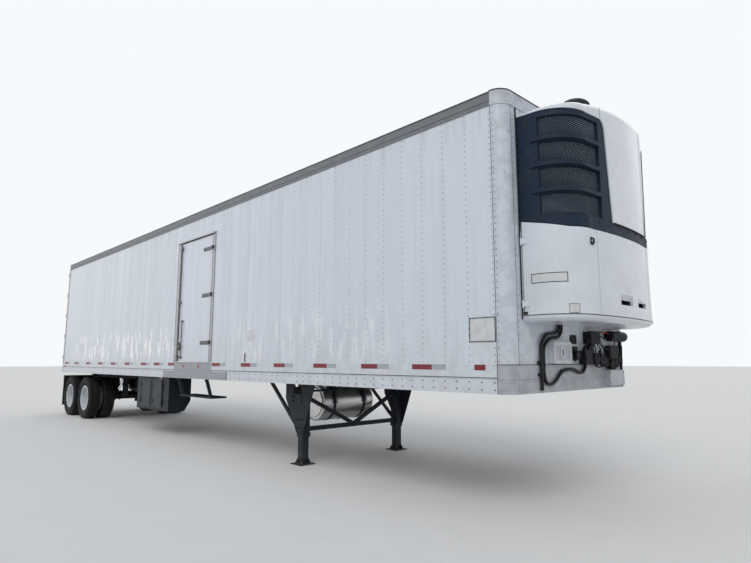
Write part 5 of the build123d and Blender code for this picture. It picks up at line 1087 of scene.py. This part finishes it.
def nose_sockets():
    """Round sockets, two air couplings with slanted arms, and the flat boxes' ribbed lids."""
    dark = Batch()
    for y, z, radius, out in ROUND_SOCKETS:
        centre = Vector((NOSE_X + out, y, RAIL_HIGH.z + z))
        rings = []
        for along, grow in SOCKET_LIP:
            ring = []
            for k, (across, up) in enumerate(spokes(48)):
                size = radius + grow + 0.0035 * cos(8 * 2 * pi * k / 48)
                ring.append(centre + Vector((along, size * across, size * up)))
            rings.append(ring)
        dark.rings(rings)
        for across, up in spokes(4, pi / 4):
            place = centre + Vector((0.01, (radius + 0.001) * across, (radius + 0.001) * up))
            dark.bolt(place, AHEAD, 0.009, 0.005, False)
    for y, z, way in ((0.335, 0.062, 1), (0.48, 0.055, -1)):
        base = Vector((NOSE_X + 0.07, y, RAIL_HIGH.z + z))
        profile = ((-0.004, 0.064), (0.01, 0.066), (0.016, 0.056), (0.016, 0.03), (0.01, 0.026))
        dark.turned(base, AHEAD, profile, 32)
        arm = ((0.008, 0.02, 0.03), (0.014, 0.06, 0.062), (0.008, 0.082, 0.088))
        dark.tube([base + Vector((x, way * y, z)) for x, y, z in arm], 0.012, 10)
        dark.box(base + Vector((0.0, -0.014, -0.088)), base + Vector((0.014, 0.014, -0.05)))
    for y0, y1, z0, z1, out in FLAT_BOXES:
        face = NOSE_X + out
        z0, z1 = RAIL_HIGH.z + z0, RAIL_HIGH.z + z1
        dark.slabs(X, (face, face + 0.005), (y0 + 0.01, y1 - 0.01, z0 + 0.01, z1 - 0.01))
        dark.slabs(X, (face - 0.02, face + 0.002), (y0 - 0.004, y1 + 0.004, z1 - 0.02, z1 + 0.004))
        dark.bolts(face + 0.005, (y0 + 0.022, y1 - 0.022), (z0 + z1) / 2, AHEAD, 0.012, 0.006)
    dark.make("nose_sockets", "fitting_dark", smooth=35)


def nose_line(route, steps):
    """A smooth line in front of the nose wall."""
    return curved([(NOSE_X + out, y, z) for y, z, out in route], steps)


def nose_details():
    """All that the scene adds to the front wall below the unit."""
    document_box()
    nose_plates()
    nose_sockets()
    cables = Batch()
    for route in WIRES:
        cables.tube(nose_line(route, 7), 0.0065)
    cables.make("nose_cables", "cable_black", smooth=50)
    conduit = Batch()
    pipe_x = X_FRONT + 0.013
    conduit.tube(curved([(x, 1.12, z) for x, z in (
        (NOSE_X + 0.02, 1.48), (NOSE_X + 0.022, 1.425), (pipe_x, 1.395), (pipe_x, 1.3), (pipe_x, 1.15))], 6),
        0.013, 10)
    conduit.make("nose_conduit", "cable_black", smooth=50)
    red = Batch()
    red.tube(nose_line(RED_CABLE, 7), 0.009)
    red.make("nose_red_cable", "cable_red", smooth=50)
    ribbed = Batch()
    for route in RIBBED_HOSES:
        line = nose_line(route, 10)
        ribbed.tube(line, 0.0105, 10)
        for a, b in zip(line, line[1:]):
            ribbed.turned((a + b) / 2, b - a, ((-0.003, 0.0145), (0.003, 0.0145)), 10)
    ribbed.make("nose_ribbed_hoses", "cable_black")


def leg_details():
    """Bolts, pins, plate openings and crank grip of the landing legs."""
    bolts = Batch()
    opening = Batch()
    faces = both(LEG_FACE)
    bolts.bolts([LEG_X + dx for dx in (-0.32, -0.26, -0.19, 0.1, 0.19, 0.29)], faces,
                RAIL_LOW.z - 0.022, None, 0.021, 0.012)
    bolts.bolts((LEG_X - 0.17, LEG_X + 0.04), faces, (0.932, 0.875), None, 0.021, 0.012)
    bolts.bolts((LEG_X - 0.055, LEG_X + 0.055), faces, (0.62, 0.5), None, 0.021, 0.012)
    for sign in (-1, 1):
        for way in (-1, 1):
            bolts.bolt((LEG_X, sign * (LEG_Y + way * 0.076), 0.052), (0, sign * way, 0), 0.03, 0.016)
        for dx, dy in product((-0.105, 0.105), repeat=2):
            bolts.turned((LEG_X + dx, sign * (LEG_Y + dy), 0.012), UP, ((0, 0.012), (0.004, 0.012)), 10)
        # Black sheet on the leg plate's opening: painted shade
        opening.slabs(Y, (sign * LEG_FACE, sign * (LEG_FACE + 0.001)),
                      (LEG_X - 0.165, LEG_X + 0.03, 0.975, 1.075))
    bolts.bolts((LEG_X - 0.075, LEG_X + 0.05), LEG_FACE + 0.075, (0.92, 1.03), None, 0.013, 0.007)
    opening.make("leg_plate_openings", "hole_painted_shade")
    bolts.make("leg_bolts", "bolt_dark")
    grip = Batch()
    x, z = LEG_X + 0.2, 0.98
    grip.rod((x, HALF_WIDTH - 0.172, z), (x, HALF_WIDTH - 0.088, z), 0.018, 16)
    grip.make("crank_grip", "grip_black")


def tank_details():
    """Bolts of the tank's straps, its filler cap and its drain."""
    batch = Batch()
    for y, way in product((-0.3, 0.3), (-1, 1)):
        x = TANK_X + way * 0.32
        batch.bolts(x, y, (0.86, 1.05), (way, 0, 0), 0.016, 0.01)
        batch.rod((x, y, 0.8), (x, y, 0.9), 0.007, 8)
    batch.make("tank_bolts", "bolt_zinc")
    cap = Batch()
    top = Vector((TANK_X + 0.15, -0.41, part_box("fuel_tank")[1].z))
    cap.turned(top, UP, ((-0.022, 0.053), (-0.004, 0.053), (0, 0.046), (0.003, 0.02)), 24)
    for across, other in spokes(12):
        rib = top + Vector((across, other, 0)) * 0.053
        cap.rod(rib - lift(0.022), rib - lift(0.004), 0.004, 6)
    cap.turned((TANK_X, 0.0, TANK_BOTTOM), DOWN, ((-0.004, 0.022), (0.01, 0.022), (0.012, 0.016)), 12)
    cap.make("tank_cap", "fitting_dark")


def box_details():
    """Rivets, edge strips, door ribs and a blank tag on the box below the rail."""
    heads = Batch()
    heads.rivets(steps_between(-2.17, -0.67, 0.1), BOX_FACE, (0.49, 1.1))
    heads.rivets((-2.175, -0.665, -1.44), BOX_FACE, steps_between(0.52, 1.07, 0.09))
    heads.make("box_rivets", "bolt_dark")
    strip = Batch()
    strip.slabs(Y, (BOX_FACE - 0.006, BOX_FACE), (*BOX_ENDS, 0.474, 0.482))
    strip.slabs(Y, (BOX_FACE - 0.01, BOX_FACE), (*BOX_ENDS, 1.106, 1.117))
    strip.make("box_edges", "trim_dark")
    for name in ("rear", "front"):
        body = "box_door_" + name
        low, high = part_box(body)
        ribs = Batch()
        ribs.border(Y, (BOX_FACE - 0.02, BOX_FACE - 0.016), low.x + 0.03, high.x - 0.03, 0.56, 1.04, 0.008)
        ribs.make("box_door_ribs_" + name, "box_rib", body)
    tag = Batch()
    tag.slabs(Y, (BOX_FACE - 0.012, BOX_FACE - 0.0101),
              (high.x - 0.175, high.x - 0.035, high.z + 0.006, high.z + 0.046))
    tag.make("box_tag", "tag_rose")


def step_details():
    """Raised studs on the step's bars and the bolts of its hangers."""
    low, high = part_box("side_step")
    batch = Batch()
    pitch = (high.x - low.x - 0.028) / 13
    for k, y in product(range(14), steps_between(low.y + 0.03, low.y + 0.27, 0.03)):
        batch.turned((low.x + 0.007 + k * pitch, y, STEP_TOP_Z), UP, ((-0.001, 0.005), (0.003, 0.004)), 6)
    for y, z in ((CURB_Y + 0.012, 1.105), (-1.165, 0.86)):
        batch.bolts((low.x + 0.06, high.x - 0.06), y, z, None, 0.018, 0.01)
    batch.make("step_studs", "bolt_dark")


# Brake hoses of one axle: (distance ahead of the axle, across, height)
BRAKE_HOSES = (
    ((0.23, 0.587, 0.637), (0.225, 0.55, 0.72), (0.18, 0.47, 0.83), (0.12, 0.41, 0.95), (0.1, 0.39, 1.04)),
    ((0.28, 0.587, 0.62), (0.29, 0.54, 0.7), (0.26, 0.45, 0.82), (0.2, 0.4, 0.94), (0.18, 0.39, 1.04)),
)


def axle_details(dark, hoses, x, sign):
    """U-bolts with their plate, the brake chamber's bands, its lever, and two hoses at one end of an axle."""
    half = 0.078
    for y in (sign * SPRING_Y - 0.049, sign * SPRING_Y + 0.049):
        bend = [(x - half * c, y, TYRE_RADIUS - half * s) for c, s in spokes(16)[:9]]
        dark.tube([(x - half, y, 0.67), *bend, (x + half, y, 0.67)], 0.0095)
        dark.bolts((x - half, x + half), y, 0.664, UP, 0.024, 0.016)
    dark.box((x - 0.095, sign * SPRING_Y - 0.062, 0.644), (x + 0.095, sign * SPRING_Y + 0.062, 0.658))
    y = sign * CHAMBER_Y
    dark.turned((x + 0.215, y, CHAMBER_Z), AHEAD, ((-0.008, 0.081), (0.008, 0.081)), 24)
    dark.turned((x + 0.29, y, CHAMBER_Z), AHEAD, ((0, 0.066), (0.012, 0.05), (0.018, 0.02)), 20)
    dark.box((x + 0.05, y - 0.012, 0.45), (x + 0.095, y + 0.012, 0.575))
    dark.turned((x + 0.072, y - 0.02, 0.46), TO_ROAD, ((0, 0.03), (0.04, 0.03)), 16)
    for route in BRAKE_HOSES:
        hoses.tube(curved([(x + along, sign * across, z) for along, across, z in route], 6), 0.0095)


def running_gear():
    """Slider holes, the axles' small parts, air lines with their clips, and the mud flaps' clamps."""
    dark = Batch()
    holes = Batch()
    low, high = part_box("slider_frame")
    for sign, x in product((-1, 1), steps_between(low.x, high.x, 0.15, 0.1)):
        place = (x, sign * SLIDER_SIDE_Y, SLIDER_HOLE_Z)
        # A black disc in each slider hole: painted shade
        holes.turned(place, (0, sign, 0), ((0, 0.019), (0.0012, 0.019)), 20)
        dark.turned(place, (0, sign, 0), ((0, 0.026), (0.0008, 0.026)), 20)
    holes.make("slider_holes", "hole_painted_shade")
    hoses = Batch()
    for x, sign in product(AXLE_X.values(), (-1, 1)):
        axle_details(dark, hoses, x, sign)
    start = AXLE_X["front"] + 0.9
    for y in (-0.25, -0.285, 0.25):
        hoses.rod((start, y, AIR_LINE_Z), (AIR_LINE_END, y, AIR_LINE_Z), 0.0085, 8)
        for x in steps_between(start, AIR_LINE_END, 0.61, 0.1):
            dark.box((x - 0.012, y - 0.016, 1.116), (x + 0.012, y + 0.016, 1.139))
    dark.make("running_gear_bolts", "bolt_dark")
    hoses.make("air_lines", "cable_black", smooth=50)

    flap_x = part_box("mud_flaps")[0].x
    clamps = Batch()
    for y0, y1 in ((-1.28, -0.7), (0.7, 1.28)):
        clamps.slabs(X, (flap_x - 0.006, flap_x), (y0, y1, 0.94, 0.985))
        clamps.bolts(flap_x - 0.006, steps_between(y0, y1, 0.12, 0.05), 0.962, BACK, 0.014, 0.008)
    clamps.make("mud_flap_clamps", "bolt_zinc")


def roof_and_inside():
    """Roof seams with rivets, and the metal bands and battens along the load space."""
    top = ROOF_Z - 0.006
    bow_pitch = 1.22
    batten_pitch = bow_pitch / 2
    seams = Batch()
    for x in steps_between(WALL_LOW.x + 0.6, SEAM_X - 0.3, bow_pitch):
        seams.slabs(Z, (top, top + 0.0015), (x - 0.02, x + 0.02, -1.215, 1.215))
        seams.rivets(x, steps_between(-1.19, 1.19, 0.085), top + 0.0015, UP)
    seams.rivets(steps_between(WALL_LOW.x, SEAM_X, PANEL_PITCH / 2, 0.05), both(1.252), ROOF_Z, UP)
    seams.make("roof_seams", "rivet_shade_and_dirt")
    inner = 1.2235
    band_low, band_high, batten_high = 1.406, 1.704, 4.09
    start, end = WALL_LOW.x + 0.01, X_FRONT - 0.11
    bands = Batch()
    battens = Batch()
    for sign, x0, x1 in ((-1, start, FRAME_LOW.x), (-1, FRAME_HIGH.x, end), (1, start, end)):
        bands.slabs(Y, (sign * (inner - 0.004), sign * inner), (x0, x1, band_low, band_high))
        battens.slabs(Y, (sign * (inner - 0.007), sign * inner), *(
            (x - 0.02, x + 0.02, band_high, batten_high) for x in steps_between(x0, x1, batten_pitch, 0.12)))
    bands.make("scuff_bands", "floor_metal")
    battens.make("liner_battens", "liner")


def add_object(name, data):
    thing = bpy.data.objects.new(name, data)
    bpy.context.scene.collection.objects.link(thing)
    return thing


def plain_view():
    """The camera, a pale floor, and soft light that shows a colour about as it is written."""
    camera = add_object("camera", bpy.data.cameras.new("camera"))
    bpy.context.scene.camera = camera
    camera.location = CAMERA_PLACE
    level = cos(CAMERA_PITCH)
    forward = Vector((cos(CAMERA_YAW) * level, sin(CAMERA_YAW) * level, sin(CAMERA_PITCH)))
    camera.rotation_euler = forward.to_track_quat("-Z", "Y").to_euler()
    camera.data.sensor_width = SENSOR_WIDTH
    camera.data.lens = SENSOR_WIDTH * FOCAL_PIXELS / PHOTO_WIDTH
    camera.data.clip_end = 400.0

    bpy.context.scene.view_settings.view_transform = "Standard"

    half = 150.0
    mesh = bpy.data.meshes.new("floor")
    corners = [(-half, -half, 0), (half, -half, 0), (half, half, 0), (-half, half, 0)]
    mesh.from_pydata(corners, [], [(0, 1, 2, 3)])
    add_object("ground_plane", mesh)
    paint = Paint("pale_floor")
    speck = paint.grain(3.0, 6.0, 0.55)
    mesh.materials.append(paint.finish(paint.mix(speck, (0.7, 0.7, 0.7), (0.76, 0.76, 0.76)), 0.9))

    world = bpy.data.worlds.new("soft_sky")
    bpy.context.scene.world = world
    world.use_nodes = True
    tree = world.node_tree
    light = tree.nodes["Background"]
    light.inputs["Color"].default_value = (0.94, 0.97, 1.0, 1.0)
    light.inputs["Strength"].default_value = 0.5
    shown = tree.nodes.new("ShaderNodeBackground")
    shown.inputs["Color"].default_value = (0.93, 0.95, 0.97, 1.0)
    path = tree.nodes.new("ShaderNodeLightPath")
    seen = path.outputs["Is Camera Ray"]
    for name in ("Is Glossy Ray", "Is Transmission Ray"):
        either = tree.nodes.new("ShaderNodeMath")
        either.operation = "MAXIMUM"
        tree.links.new(seen, either.inputs[0])
        tree.links.new(path.outputs[name], either.inputs[1])
        seen = either.outputs[0]
    choice = tree.nodes.new("ShaderNodeMixShader")
    tree.links.new(seen, choice.inputs["Fac"])
    tree.links.new(light.outputs[0], choice.inputs[1])
    tree.links.new(shown.outputs[0], choice.inputs[2])
    tree.links.new(choice.outputs[0], tree.nodes["World Output"].inputs["Surface"])

    # Each lamp: its name, the direction that its light travels, its strength and its angular size in degrees
    for name, direction, strength, size in (
            ("key", (-0.5, 0.72, -0.8), 1.1, 40.0),
            ("fill", (0.8, 0.45, -0.45), 0.35, 60.0),
            ("back", (0.3, -0.9, -0.55), 0.4, 60.0)):
        data = bpy.data.lights.new(name, "SUN")
        data.energy = strength
        data.angle = radians(size)
        add_object(name, data).rotation_euler = Vector(direction).to_track_quat("-Z", "Y").to_euler()


def dress_nodes():
    """Gives every carried-over node the finish of its slot, or the other one listed for it in the table of
    worn and shaded finishes.
    """
    slot_of = {row["node"]: row["material_slot"] for row in frame["record"]["subparts"]}
    for name, node in frame["nodes"].items():
        node.data.materials.clear()
        node.data.materials.append(FINISHES[WORN_AND_SHADED.get(name, slot_of[name])])


FINISHES = make_materials()
plain_view()
dress_nodes()
for dress in (wall_rivets, nose_rivets, tape, side_plates, side_door_details, rear_details, wheels, unit_mesh,
              unit_details, nose_details, leg_details, tank_details, box_details, step_details, running_gear,
              roof_and_inside):
    dress()
